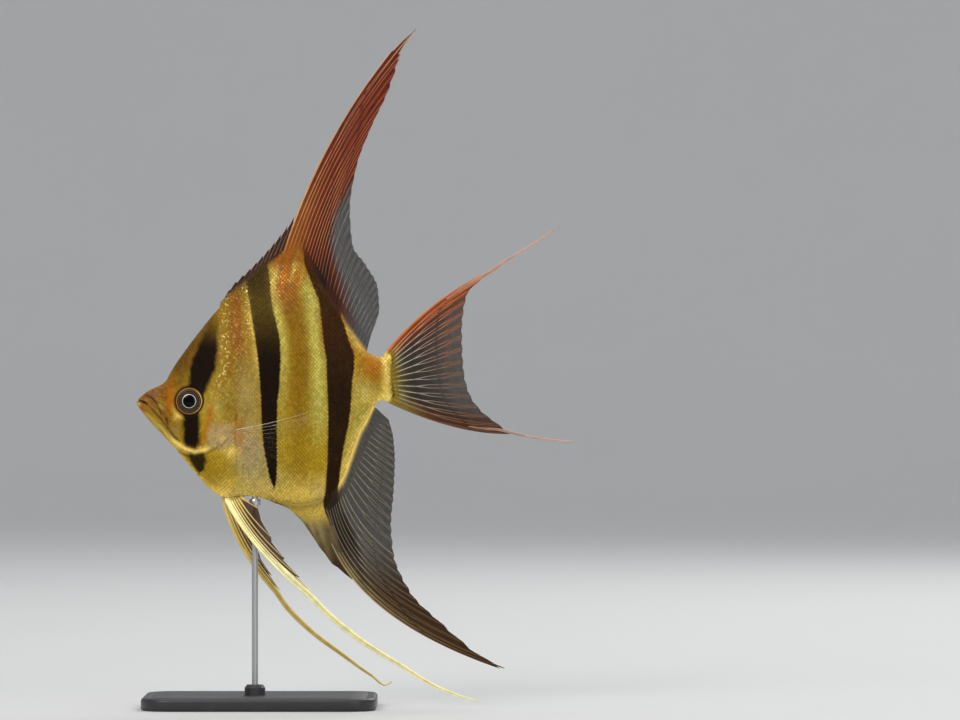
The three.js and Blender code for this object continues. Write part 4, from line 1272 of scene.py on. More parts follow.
def sheath_coat(fan, tall, side, sway, thick, swell, rng):
    """Small scales up a fin's foot, laid on its web with their free edges towards the fin's edge.

    Rows follow the root and stop where the distance from it passes tall(u). A plate's run is turned
    into a share of its ray's length and its width into a share of the root's length.
    """
    u = np.linspace(0, 1, 200)
    foot_x, foot_z = fan(u, 0 * u)
    root = np.append(0, np.hypot(np.diff(foot_x), np.diff(foot_z)).cumsum())
    tip_x, tip_z = fan(u, 0 * u + 0.2)
    per_v = np.hypot(tip_x - foot_x, tip_z - foot_z) / 0.2
    along = np.arange(0.5, root[-1] - 0.4, SHEATH_PITCH)
    out = np.arange(0.9, 14, SHEATH_ROWS)
    along, out = np.meshgrid(along, out, indexing="ij")
    staggered = along + np.round(out / SHEATH_ROWS).astype(int) % 2 * (SHEATH_PITCH / 2)
    along, out = staggered.ravel() + rng.normal(0, 0.04, along.size), out.ravel()
    at_u = np.interp(along, root, u)
    keep = (out < tall(at_u) * (1 + rng.normal(0, 0.16, len(out)))) & (along < root[-1] - 0.3)
    at_u, along, out = at_u[keep], along[keep], out[keep]
    plate, faces = scale_plate()
    size = (1 - 0.35 * out / 10)[:, None]
    ray = np.interp(at_u, u, per_v)[:, None]
    v = (out[:, None] + (plate[:, 0] - 0.4) * 1.7 * size) / ray
    place = np.clip(along[:, None] + plate[:, 1] * 0.78 * size, 0, root[-1])
    at_place = np.interp(place, root, u)
    x, z = fan(at_place, v)
    base_x, base_z = fan(at_place, 0 * v)
    half = web_half(v, np.hypot(x - base_x, z - base_z), thick, swell)
    lift = plate[:, 2] * 0.42 * size
    points = np.stack([x, sway(x, z) + side * (half + lift), z], -1).reshape(-1, 3)
    marks = body_marks(x.ravel(), z.ravel())
    mid_x, mid_z = fan(at_u, out / ray[:, 0])
    flat = flat_place(mid_x, mid_z - long_axis(mid_x))
    marks["scale"], bake = scale_data(plate, rng.uniform(0, 1, len(out)), *flat)
    return points, copied_faces(faces, len(out), len(plate)), marks, bake


def make_sheaths(parts, seed):
    """Scales on both sides of a fin's foot: each part is a name and what sheath_coat asks for."""
    finish = scale_finish()
    for word, side in SIDES:
        rng = np.random.default_rng(seed + side)
        for name, fan, tall, sway, thick, swell in parts:
            points, faces, marks, bake = sheath_coat(fan, tall, side, sway, thick, swell, rng)
            piece(f"scales_{name}_{word}", points, faces, finish, (), marks, bake)


def curve_through(points, count):
    """Places along a smooth line: cubics through the points, sloped as the chords between the neighbours."""
    points = np.array(points, float)
    run = np.append(0, np.cumsum(np.linalg.norm(np.diff(points, axis=0), axis=1)))
    slope = np.gradient(points, run, axis=0)
    s = np.linspace(0, run[-1], count)
    i = np.clip(np.searchsorted(run, s) - 1, 0, len(run) - 2)
    span = (run[i + 1] - run[i])[:, None]
    t = (s - run[i])[:, None] / span
    return cubic(t, span, (points[i], points[i + 1]), (slope[i], slope[i + 1])), s


def streamer_shape(points, width, tip_width, thick, tip_thick, count, sides, held):
    """A long flat filament of two rays side by side, and the Spot of each of its points.

    At each place the section is an oval, wide in side view, whose depth is cut by a cosine into two
    ribs. Width and thickness shrink as the share of the length to the power held.
    """
    centre, run = curve_through(points, count)
    along = np.gradient(centre, axis=0)
    across = np.stack([-along[:, 2], 0 * run, along[:, 0]], -1)
    across /= np.linalg.norm(across, axis=1, keepdims=True)
    s = run / run[-1]
    close = np.where((s == 0) | (s == 1), 0.35, 1) * (1 - 0.3 * smooth(0.9, 1.0, s))
    half = (width + (tip_width - width) * s**held) / 2 * close * (0.45 + 0.55 * smooth(0, 14, run))
    deep = (thick + (tip_thick - thick) * s**held) / 2 * close
    turn = np.linspace(0, 2 * np.pi, sides, endpoint=False)
    wide = half[:, None] * np.cos(turn)
    out = deep[:, None] * np.sin(turn) * (1 - 0.3 * hump(np.cos(turn), 0.22))
    loop = centre[:, None] + across[:, None] * wide[..., None]
    loop[..., 1] += out
    place = np.tile(0.5 + 0.5 * np.cos(turn), count)
    at = Spot(loop[..., 0].ravel(), loop[..., 2].ravel(), place, np.repeat(s, sides), np.repeat(run, sides))
    return loop.reshape(-1, 3), rod_faces(1, count, sides), at


def make_streamer(name, node, slot, fan, u, shares, trail, sway, material, paint, **form):
    """A filament that runs along the fan's ray at u, through these shares of it, and on through its trail."""
    start = [tuple(float(n) for n in fan(u, v)) for v in shares]
    line = [(x, float(sway(x, z)), z) for x, z in start + trail]
    points, faces, at = streamer_shape(line, **form)
    piece(name, points, faces, material, (node,), fin_marks(at, paint))


def fin_sizes():
    """The fins' settings in mm: the web's thickness at foot and tip, the ray's radius, pleat and swelling."""
    fins = bpy.context.scene.angelfish_fins
    thick = (fins.web_foot / MM, fins.web_tip / MM)
    return thick, fins.ray_radius / MM, fins.pleat / MM, fins.swell / MM


def make_lobe_and_rear(fin, slots, fan, lobe, meet, gaps, sway, materials, paints, leading):
    """The soft-rayed part of a fin, in two pieces that meet on a ray: its lobe and its rear.

    The paints are told the share of the foot at which their piece begins.
    """
    thick, ray, pleat, swell = fin_sizes()
    radii = ray * np.array([1, 0.72, 0.5, 0.3])
    for part, slot, (first, share, last), count, rows, thicker in (
        ("lobe", slots[0], (0, 0, meet), gaps[0], 110, leading),
        ("rear", slots[1], (meet, lobe, 1), gaps[1], 60, 1.0),
    ):
        given = [partial(paint, first=share) for paint in paints]
        make_fin(f"{fin}_{part}", f"{fin}_fin_{part}", fan, (first, last), count, rows, sway, materials,
                 given, thick, radii, pleat, leading=thicker, swell=swell)


# Fans of rays: (share of the root, tip x, tip z, bow, lean).
SPINY_DORSAL = [
    (0, -64.6, 195), (0.14, -59, 202.9, 0.02), (0.35, -50.2, 211.2, 0.03), (0.56, -42.6, 219.2, 0.03),
    (0.76, -35.6, 227.6, 0.03), (1, -26.6, 239.6, 0.02),
]
SOFT_DORSAL = [
    (0, 17.6, 315.8, 0.1), (0.0172, 19.2, 317, 0.102), (0.0257, 23.6, 321.4, 0.104),
    (0.0343, 29.2, 326.3, 0.105), (0.0429, 24.6, 320.4, 0.105), (0.0515, 21.8, 315.6, 0.105),
    (0.106, 20.6, 311, 0.105), (0.18, 15.5, 296, 0.1), (0.28, 7.5, 279, 0.09), (0.38, 0.4, 260, 0.09),
    (0.48, -2.8, 240, 0.08), (0.58, -1.6, 222.5, 0.06), (0.7, 4.5, 213, 0.05), (0.84, 10.5, 201.5, 0.05),
    (0.94, 11.2, 191, 0.05), (1, 9.2, 184, 0.05),
]
SPINY_ANAL = [
    (0, -38, 97.9), (0.2, -30.8, 94.8), (0.42, -24.6, 87.8, -0.03), (0.62, -18.8, 78.9, -0.04),
    (0.8, -12.9, 70.6, -0.03), (0.9, -8.8, 66.2, -0.02), (0.96, -5, 63.2), (1, -1.8, 61.4, 0.01),
]
SOFT_ANAL = [
    (0, 69.5, 18.7, -0.305, -0.17), (0.029, 71.5, 19, -0.305, -0.17), (0.057, 60.4, 24.8, -0.295, -0.16),
    (0.1, 43.5, 38.6, -0.28, -0.13), (0.17, 27, 54.5, -0.25, -0.08), (0.26, 18.4, 73, -0.17, -0.04),
    (0.38, 17, 88, -0.09), (0.53, 18.2, 103, -0.05), (0.72, 18.8, 118.5, -0.04), (0.88, 18, 129.5, -0.03),
    (1, 15.8, 138),
]
TAIL = [
    (0, 60.6, 207.8, 0.11), (0.06, 60, 205.6, 0.1), (0.14, 54, 199.6, 0.08), (0.24, 51.9, 191.6, 0.05),
    (0.36, 51, 181.6, 0.03), (0.48, 51.2, 171, 0.01), (0.6, 52, 160.6, -0.02), (0.72, 54.6, 150.6, -0.06),
    (0.83, 60.5, 142.2, -0.09, 0.02), (0.92, 67.6, 136.6, -0.11, 0.05), (1, 74.4, 131.4, -0.12, 0.08),
]
# How far the pelvic fins' feet stand from the middle plane, and how far they spread for each millimetre.
PELVIC_ROOT_Y, PELVIC_SPLAY = 2.4, 0.15
PELVIC = {
    "left": {
        "root": ((-62.6, 100.6), (-55.4, 101.2)),
        "rays": [
            (0, -19, 51, -0.11, -0.07), (0.24, -18.4, 53.4, -0.115, -0.07),
            (0.42, -23.2, 59, -0.12, -0.06), (0.58, -30.4, 67.2, -0.1, -0.04), (0.72, -36.4, 75.2, -0.09),
            (0.86, -41.6, 84, -0.07), (1, -47, 95.8, -0.03),
        ],
        "trail": [(-12.6, 45), (1.9, 33.5), (21.1, 21.5), (40.3, 10.4), (50, 6.7), (59.3, 4.2)],
        "width": 3.0,
    },
    "right": {
        "root": ((-63.8, 101.0), (-56.6, 100.9)),
        "rays": [
            (0, -36.6, 51.6, -0.14, -0.08), (0.24, -35.4, 53.4, -0.135, -0.08),
            (0.42, -38.6, 59.4, -0.12, -0.06), (0.58, -43.4, 67.4, -0.1, -0.04),
            (0.72, -48.8, 77.6, -0.08), (0.86, -52.6, 86.5, -0.06), (1, -55.6, 95, -0.02),
        ],
        "trail": [(-33.4, 47.6), (-22.1, 36.2), (-7.7, 25.2), (6.7, 14.7), (14.6, 9.8), (17.2, 11.8)],
        "width": 2.7,
    },
}
PECTORAL_ROOT = ((-57.4, 133.4), (-56.4, 125.2))
PECTORAL = [
    (0, -19.8, 142.8, -0.04), (0.2, -22.6, 136.4, -0.02), (0.45, -29.6, 127.8, 0),
    (0.7, -37.4, 120.4, -0.02), (0.9, -44.4, 116.6, -0.04), (1, -47.6, 117.4, -0.05),
]
# The tail's streamers: their trail, their width at the foot, the ray they leave along, and how red they are.
TAIL_STREAMERS = {
    "upper": ([(64.8, 209.4), (73.5, 215.3), (88, 224.2), (97.8, 231.3)], 1.7, 0.035, 0.95),
    "lower": ([(79.5, 130.6), (88.3, 129), (97, 128.1), (105.2, 127.8)], 1.5, 0.97, 0.1),
}
# The share of the soft rays' foot that the lobe takes; lobe and rear meet just behind it, on a common ray.
DORSAL_LOBE, DORSAL_MEET = 0.48, 0.4805
ANAL_LOBE, ANAL_MEET = 0.26, 0.2605

STILL = drifting((0, 0), 0)
DORSAL_SWAY = drifting((-20, 205), 0.035)
ANAL_SWAY = drifting((-8, 108), -0.03)
TAIL_SWAY = drifting((18, 160), 0.03)
# The rear edge of the dorsal's red, as x at each height.
RED_EDGE = line_through([
    (185, -1.5), (193.2, -2.9), (202.8, -5.3), (212.4, -10.1), (224.4, -12.5), (234, -11), (248.4, -4),
    (262, 6), (280, 30),
])


# ---------- eyes


def eye_shape(side, rings=26, spokes=48, depth=3.4, pupil_step=0.22):
    """An eyeball as a turned profile: a shallow dome outside, a bowl inside, and each point's polar place.

    Over the iris the dome is a half ellipse of the ball's radius and bulge, with a slight step up at the
    pupil; behind the rim a deeper half ellipse closes it. The poles are single points.
    """
    angle = np.linspace(0, np.pi, rings + 2)[1:-1]
    outer = angle < np.pi / 2
    r = EYE_RADIUS * np.sin(angle)
    rise = np.where(outer, EYE_BULGE, depth) * np.cos(angle)
    rise = rise + np.where(outer, pupil_step * (1 - smooth(2.2, 3.0, r)) - 0.1 * hump(r - 4.2, 0.8), 0)
    flank = body_point(np.array([EYE_X]), np.array([height_share(EYE_X, EYE_Z)]), side, 0.0)
    seat = abs(float(flank[0, 1])) - 0.45
    turn = np.linspace(0, 2 * np.pi, spokes, endpoint=False)
    x = EYE_X + r[:, None] * np.cos(turn)
    z = EYE_Z + r[:, None] * np.sin(turn)
    y = side * (seat + rise[:, None] + 0 * turn)
    front = [EYE_X, side * (seat + EYE_BULGE + pupil_step), EYE_Z]
    back = [EYE_X, side * (seat - depth), EYE_Z]
    points = np.concatenate([np.stack([x, y, z], -1).reshape(-1, 3), [front, back]])
    reach = np.append(np.where(outer, r, EYE_RADIUS + 0.1 * np.arange(rings))[:, None] + 0 * turn, [0.0, 9.0])
    around = np.append(0 * r[:, None] + turn, [0.0, 0.0])
    polar = np.stack([reach / EYE_RADIUS, np.cos(around), np.sin(around)], -1)
    return points, closed_faces(rings, spokes), polar


def eye_finish():
    """The eye: black pupil, silver ring, dark iris with thin pale rings, and a golden rim to the rear."""
    made, shader, w = new_material("angelfish_eye", 0.04)
    reach, rear, _ = w.parts("polar")
    r = w.plus(reach, w.unrest(0.035, 900, 3))

    def ring(centre, half, soft=0.018):
        gap = w.maths("ABSOLUTE", w.minus(r, centre))
        return w.step(gap, half, half + soft, 1.0, 0.0)

    silver = ring(0.465, 0.010, 0.02)
    thin = w.times(w.maths("MAXIMUM", ring(0.61, 0.003), ring(0.74, 0.004)), 0.3)
    gold = w.times(ring(0.865, 0.016, 0.022), w.step(rear, 0.15, 0.8, 0.0, 0.75))
    rust = w.times(ring(0.88, 0.02, 0.06), 0.6)
    color = w.blend(w.step(r, 0.40, 0.43), (0.001, 0.001, 0.001, 1), (0.018, 0.009, 0.002, 1))
    flecks = w.times(w.step(w.noise(1500, 2), 0.52, 0.72), w.step(r, 0.5, 0.6))
    color = w.blend(w.times(flecks, 0.4), color, (0.20, 0.09, 0.012, 1))
    color = w.blend(thin, color, (0.36, 0.30, 0.22, 1))
    color = w.blend(rust, color, (0.34, 0.15, 0.03, 1))
    color = w.blend(gold, color, (0.62, 0.44, 0.13, 1))
    color = w.blend(silver, color, (0.62, 0.58, 0.54, 1))
    color = w.blend(w.step(r, 0.93, 1.0), color, (0.008, 0.006, 0.004, 1))
    w.join(color, shader["Base Color"])
    w.join(w.times(w.maths("MAXIMUM", silver, gold), 0.6), shader["Metallic"])
    w.join(w.step(r, 0.38, 0.46, 0.1, 0.4), shader["Roughness"])
    shader["Coat Weight"].default_value = 0.13
    shader["Coat Roughness"].default_value = 0.03
    w.join(w.bump(w.noise(1100, 3), 0.12, 0.0001), shader["Normal"])
    return made


# ---------- stand


def plinth_shape(corner=14.0, fillet=1.6, around=24):
    """The stand's base: a rounded rectangle swept round, its rim profile filleted above and chamfered below.

    Each loop is the outline drawn in by the profile's inset at that height; the two middles are points.
    """
    low, high = (np.array(corner_of) / MM for corner_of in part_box("stand_base"))
    centre, half = (low + high)[:2] / 2, (high - low)[:2] / 2
    turn = np.linspace(0, np.pi / 2, around)
    bend = np.linspace(0, np.pi / 2, 7)
    inset = np.concatenate([
        [half[1] * 0.6, half[1] * 0.3, 2.0, 0.7, 0.0], fillet * (1 - np.cos(bend)),
        [4.0, 4.35, 4.7, 5.0, half[1] * 0.35, half[1] * 0.65],
    ])
    height = np.concatenate([
        [0, 0, 0, 0, 0.7], high[2] - fillet * (1 - np.sin(bend)), high[2] - np.array([0, 0.3, 0.3, 0, 0, 0]),
    ])
    loops = []
    for quarter in range(4):
        a = turn + quarter * np.pi / 2
        way = np.sign([math.cos(a[0] + 0.5), math.sin(a[0] + 0.5)])
        radius = np.maximum(corner - inset, 0.4)[:, None]
        reach = np.stack([half[0] - np.maximum(inset, 0), half[1] - np.maximum(inset, 0)], -1)
        loops.append(np.stack([
            centre[0] + way[0] * (reach[:, :1] - radius) + radius * np.cos(a),
            centre[1] + way[1] * (reach[:, 1:] - radius) + radius * np.sin(a),
            height[:, None] + 0 * a,
        ], -1))
    loop = np.concatenate(loops, 1)
    points = np.concatenate([loop.reshape(-1, 3), [[*centre, 0.0], [*centre, high[2]]]])
    return points, closed_faces(*loop.shape[:2])


def enamel_finish():
    """Satin black enamel over steel: faint orange peel, and rubbed a little in scattered patches."""
    made, shader, w = new_material("stand_enamel")
    look = bpy.context.scene.angelfish_stand
    rubbed = w.step(w.noise(60, 5), 0.52, 0.74)
    color = w.blend(w.times(rubbed, 0.35), rgba(look.enamel), (0.045, 0.045, 0.05, 1))
    w.join(color, shader["Base Color"])
    w.join(w.plus(0.34, w.times(w.noise(40, 4), 0.18)), shader["Roughness"])
    shader["Coat Weight"].default_value = 0.2
    shader["Coat Roughness"].default_value = 0.3
    w.join(w.bump(w.noise(900, 2), 0.15, 0.0001), shader["Normal"])
    return made


def steel_finish():
    """Brushed steel: fine lines along the rod and slightly uneven gloss."""
    made, shader, w = new_material("stand_steel")
    look = bpy.context.scene.angelfish_stand
    lines = w.noise(1.0, 2, stretch=(5200, 5200, 60))
    shader["Metallic"].default_value = 1.0
    w.join(w.blend(lines, rgba(look.steel), (0.36, 0.36, 0.37, 1)), shader["Base Color"])
    w.join(w.plus(0.22, w.times(lines, 0.2)), shader["Roughness"])
    w.join(w.bump(lines, 0.1, 0.00003), shader["Normal"])
    return made


# ---------- stage

# The camera looks square at the left flank. In metres: its distance, the view's width there, and how far its
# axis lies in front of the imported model's rear end and below its top.
CAMERA_AWAY, VIEW_WIDTH, FROM_REAR, FROM_TOP = 3.0, 0.4608, 0.0459, 0.1594
SENSOR = 36.0


def studio_shape(radius=6.5, rise=3.6, bend=2.8, spokes=96):
    """The studio floor: a disc that bends up on all sides along a quarter circle into a low wall."""
    flat = np.linspace(0.25, radius - bend, 10)
    turn = np.linspace(0, np.pi / 2, 16)[1:]
    r = np.concatenate([flat, radius - bend + bend * np.sin(turn), [radius]])
    z = np.concatenate([0 * flat, bend - bend * np.cos(turn), [rise + bend]])
    around = np.linspace(0, 2 * np.pi, spokes, endpoint=False)
    rings = np.stack([r[:, None] * np.cos(around), r[:, None] * np.sin(around), z[:, None] + 0 * around], -1)
    points = np.concatenate([rings.reshape(-1, 3), [[0, 0, 0]]])
    k = np.arange(spokes)
    hub = np.stack([k, (k + 1) % spokes, np.full(spokes, len(points) - 1), np.full(spokes, -1)], -1)
    return points, np.concatenate([grid_faces(len(r), spokes, wrap=True)[:, ::-1], hub])


def soft_light(name, place, aim, size, power, color=(1, 1, 1)):
    """A square soft light at a place in metres, turned to face another."""
    data = bpy.data.lights.new(name, "AREA")
    data.shape, data.size, data.energy, data.color = "SQUARE", size, power, color
    lamp = bpy.data.objects.new(name, data)
    lamp.location = place
    way = np.array(aim) - np.array(place)
    lamp.rotation_euler = (math.atan2(math.hypot(way[0], way[1]), -way[2]), 0, math.atan2(-way[0], way[1]))
    bpy.context.scene.collection.objects.link(lamp)
    return lamp


# ---------- settings


def length(label, about, default):
    return FloatProperty(name=label, description=about, default=default, min=0.0, unit="LENGTH", precision=5)


def color(label, about, default):
    return FloatVectorProperty(name=label, description=about, default=default, subtype="COLOR", min=0, max=1)


def power(label, about, default, kind):
    return FloatProperty(name=label, description=about, default=default, **kind)


class AngelfishBody(bpy.types.PropertyGroup):
    coat_depth: length("Coat depth", "How far the skin lies inside the packed solids", 0.00035)
    scale_pitch: length("Scale pitch", "Distance between neighbouring flank scales along a row", 0.00164)
    scale_rows: length("Row distance", "Distance between neighbouring rows of flank scales", 0.00100)
    head_pitch: length("Head scale pitch", "Distance between scales along a row at the snout", 0.00105)
    head_rows: length("Head row distance", "Distance between rows of scales at the snout", 0.00060)
    skin_rows: IntProperty(
        name="Skin rows", description="Points up each flank of the skin", default=150, min=20, max=190
    )


class AngelfishFins(bpy.types.PropertyGroup):
    ray_radius: length("Ray radius", "Half the width of a fin ray at its foot", 0.00029)
    web_foot: length("Web at the foot", "Thickness of the fin web where it leaves the body", 0.0005)
    web_tip: length("Web at the tip", "Thickness of the fin web at its edge", 0.00016)
    pleat: length("Pleat", "Depth of the folds between rays", 0.0001)
    swell: length("Foot swelling", "How much thicker the web is on each side at its fleshy foot", 0.0006)


class AngelfishColours(bpy.types.PropertyGroup):
    gold: color("Gold", "Main colour of the flanks", (0.42, 0.27, 0.010))
    ochre: color("Ochre", "Bands between the bars, and the snout", (0.27, 0.135, 0.004))
    lemon: color("Lemon", "Bright stripes beside the bars", (0.54, 0.46, 0.09))
    silver: color("Silver", "Gill cover and lower flank", (0.46, 0.37, 0.15))
    rose: color("Rose", "Lips and lower gill cover", (0.54, 0.35, 0.20))
    cream: color("Cream", "Belly, jaw streak and rear edges", (0.95, 0.68, 0.15))
    brown: color("Brown", "Red-brown streaks of shoulder and back", (0.20, 0.062, 0.005))
    orange: color("Orange", "Streaks before the eye, behind the cheek and at the fins", (0.46, 0.135, 0.004))
    olive: color("Olive", "Nape and back", (0.085, 0.050, 0.007))
    bar: color("Bar", "Dark upright bars", (0.010, 0.0040, 0.0010))
    # Painted shade for the mouth slit, folds, gill slit, nostril and eye socket.
    fold_shade: color("Fold_Shade", "Mouth slit and folds", (0.060, 0.022, 0.005))
    smoke: color("Smoke", "Clear smoky fin web", (0.036, 0.030, 0.025))
    fin_red: color("Fin red", "Red fin web", (0.13, 0.015, 0.004))
    fin_pale: color("Fin pale", "Pale rays and pelvic fins", (0.80, 0.68, 0.26))


class AngelfishStand(bpy.types.PropertyGroup):
    enamel: color("Enamel", "Colour of the base", (0.016, 0.016, 0.018))
    steel: color("Steel", "Colour of the rod", (0.56, 0.56, 0.57))
    fillet: length("Fillet", "Rounding of the base's upper edge", 0.0016)


class AngelfishStage(bpy.types.PropertyGroup):
    floor: color("Floor", "Colour of the studio floor", (0.64, 0.64, 0.63))
    key_power: power("Key power", "Strength of the main soft light", 31, {"unit": "POWER"})
    sky: power("Ambient", "Strength of the light from all round", 0.8, {"subtype": "FACTOR"})


# ---------- operators


class ANGELFISH_OT_skin(bpy.types.Operator):
    """Makes the one skin over head, jaw, gill covers, trunk and tail base"""

    bl_idname = "angelfish.skin"
    bl_label = "Skin"

    def execute(self, context):
        points, faces = skin_shape(context.scene.angelfish_body.skin_rows)
        piece(
            "skin", points, faces, skin_finish(),
            ("head", "lower_jaw", "trunk", "tail_base", "gill_cover_left", "gill_cover_right"),
            body_marks(points[:, 0], points[:, 2]),
        )
        return {"FINISHED"}


class ANGELFISH_OT_scales(bpy.types.Operator):
    """Lays overlapping scales over the skin, smallest on the head and breast"""

    bl_idname = "angelfish.scales"
    bl_label = "Scales"

    def execute(self, context):
        table = arc_table()
        finish = scale_finish()
        x, q = keep_scales(scale_lattice(), table)
        stretches = (
            ("head", SNOUT_X, GILL_END), ("trunk", GILL_END, TRUNK_END), ("rear", TRUNK_END, TAIL_X + 5),
        )
        for word, side in SIDES:
            for part, first, last in stretches:
                rng = np.random.default_rng(7 + side + len(part))
                here = (x >= first) & (x < last)
                points, faces, marks, bake = scale_coat((x[here], q[here]), side, table, rng)
                piece(f"scales_{part}_{word}", points, faces, finish, (), marks, bake)
        return {"FINISHED"}


class ANGELFISH_OT_eyes(bpy.types.Operator):
    """Makes the two eyes"""

    bl_idname = "angelfish.eyes"
    bl_label = "Eyes"

    def execute(self, context):
        finish = eye_finish()
        for word, side in SIDES:
            points, faces, polar = eye_shape(side)
            piece(f"eyeball_{word}", points, faces, finish, (f"eye_{word}",), {"polar": polar})
        return {"FINISHED"}


class ANGELFISH_OT_dorsal_fin(bpy.types.Operator):
    """Makes the dorsal fin: its spines, its swept red lobe and its smoky rear"""

    bl_idname = "angelfish.dorsal_fin"
    bl_label = "Dorsal Fin"

    def execute(self, context):
        materials = fin_finishes("dorsal")
        tall = line_through([(0, 3.6), (0.08, 4.6), (0.2, 3.8), (0.35, 2), (0.5, -2), (1, -2)])
        fleshy_to = line_through([(0, 11), (0.08, 11), (0.2, 7.5), (0.35, 5), (0.55, 3.2), (1, 2.4)])
        spiny_tall = line_through([(0, 1.2), (0.3, 2.2), (0.8, 3.6), (1, 6)])

        def bar(at):
            return smooth(-2.5, 2.5, inside_bar(at.x, at.z, REAR_BAR)) * smooth(226, 204, at.z)

        def redness(at):
            weak = 0.6 * smooth(-16, -5, at.x) * smooth(232, 208, at.z)
            return smooth(-3.5, 3.0, RED_EDGE(at.z) - at.x) * (1 - weak)

        def flesh(at, first):
            return 1 - smooth(0.1, 1.3, at.reach / fleshy_to(at.place / gaps * DORSAL_LOBE + first))

        def web_paint(at, first):
            red = redness(at)
            front = 0.7 * hump(at.reach - 12, 26) * smooth(7, 1, at.place) * (1 - bar(at))
            dark = 0.25 * red * smooth(3, 10, at.place) * smooth(70, 20, at.reach)
            return {"red": red, "dark": np.maximum(0.72 * bar(at), 0.3 * (1 - red)) + dark,
                    "pale": 0.85 * (0.1 * red if first else front),
                    "solid": 0.56 + 0.42 * red + 0.4 * bar(at), "flesh": flesh(at, first)}

        def ray_paint(at, first):
            red = redness(at)
            front = 0 if first else hump(at.place, 1.4)
            pale = (0.7 * front + 0.3 * smooth(70, 15, at.reach)) * (0.2 + 0.8 * red) * (1 - 0.8 * bar(at))
            pale = pale * (0.45 + 0.55 * smooth(8, 34, at.reach)) + front * smooth(95, 112, at.reach)
            return {"red": red, "dark": np.maximum(0.62 * bar(at), 0.1 * (1 - red)), "pale": pale,
                    "solid": 0.8 + 0.3 * red + 0.3 * bar(at), "flesh": flesh(at, first)}

        def spiny_web(at):
            return {"red": 0.12, "dark": 0.25 + 0.2 * smooth(0.3, 1, at.v), "pale": 0.12, "solid": 0.94,
                    "flesh": smooth(7, 1.5, at.reach)}

        def spiny_rays(at):
            pale = 0.05 + 0.3 * smooth(0.75, 1, at.v)
            return {"red": 0.5, "dark": 0.55, "pale": pale, "flesh": smooth(6, 2, at.reach)}

        spiny = ray_fan(fin_root(back_z, -66.0, -36.4, -0.9), SPINY_DORSAL)
        soft = ray_fan(fin_root(back_z, -36.6, 5.4, -1.0), SOFT_DORSAL)
        thick, ray, _, swell = fin_sizes()
        spiny_thick, spiny_swell, gaps = (0.7, 0.25), swell * 0.6, 14
        make_fin("dorsal_spiny", "dorsal_fin_spines", spiny, (0, 1), 12, 24, STILL, materials,
                 (spiny_web, spiny_rays), spiny_thick, ray * np.array([1.4, 1, 0.7, 0.5]), 0.0, scallop=0.2,
                 splits=None, swell=spiny_swell)
        make_lobe_and_rear("dorsal", ("fin_red", "fin_smoky"), soft, DORSAL_LOBE, DORSAL_MEET, (gaps, gaps),
                           DORSAL_SWAY, materials, (web_paint, ray_paint), 2.0)
        make_sheaths((
            ("dorsal_soft", soft, tall, DORSAL_SWAY, thick, swell),
            ("dorsal_spiny", spiny, spiny_tall, STILL, spiny_thick, spiny_swell),
        ), 31)
        return {"FINISHED"}


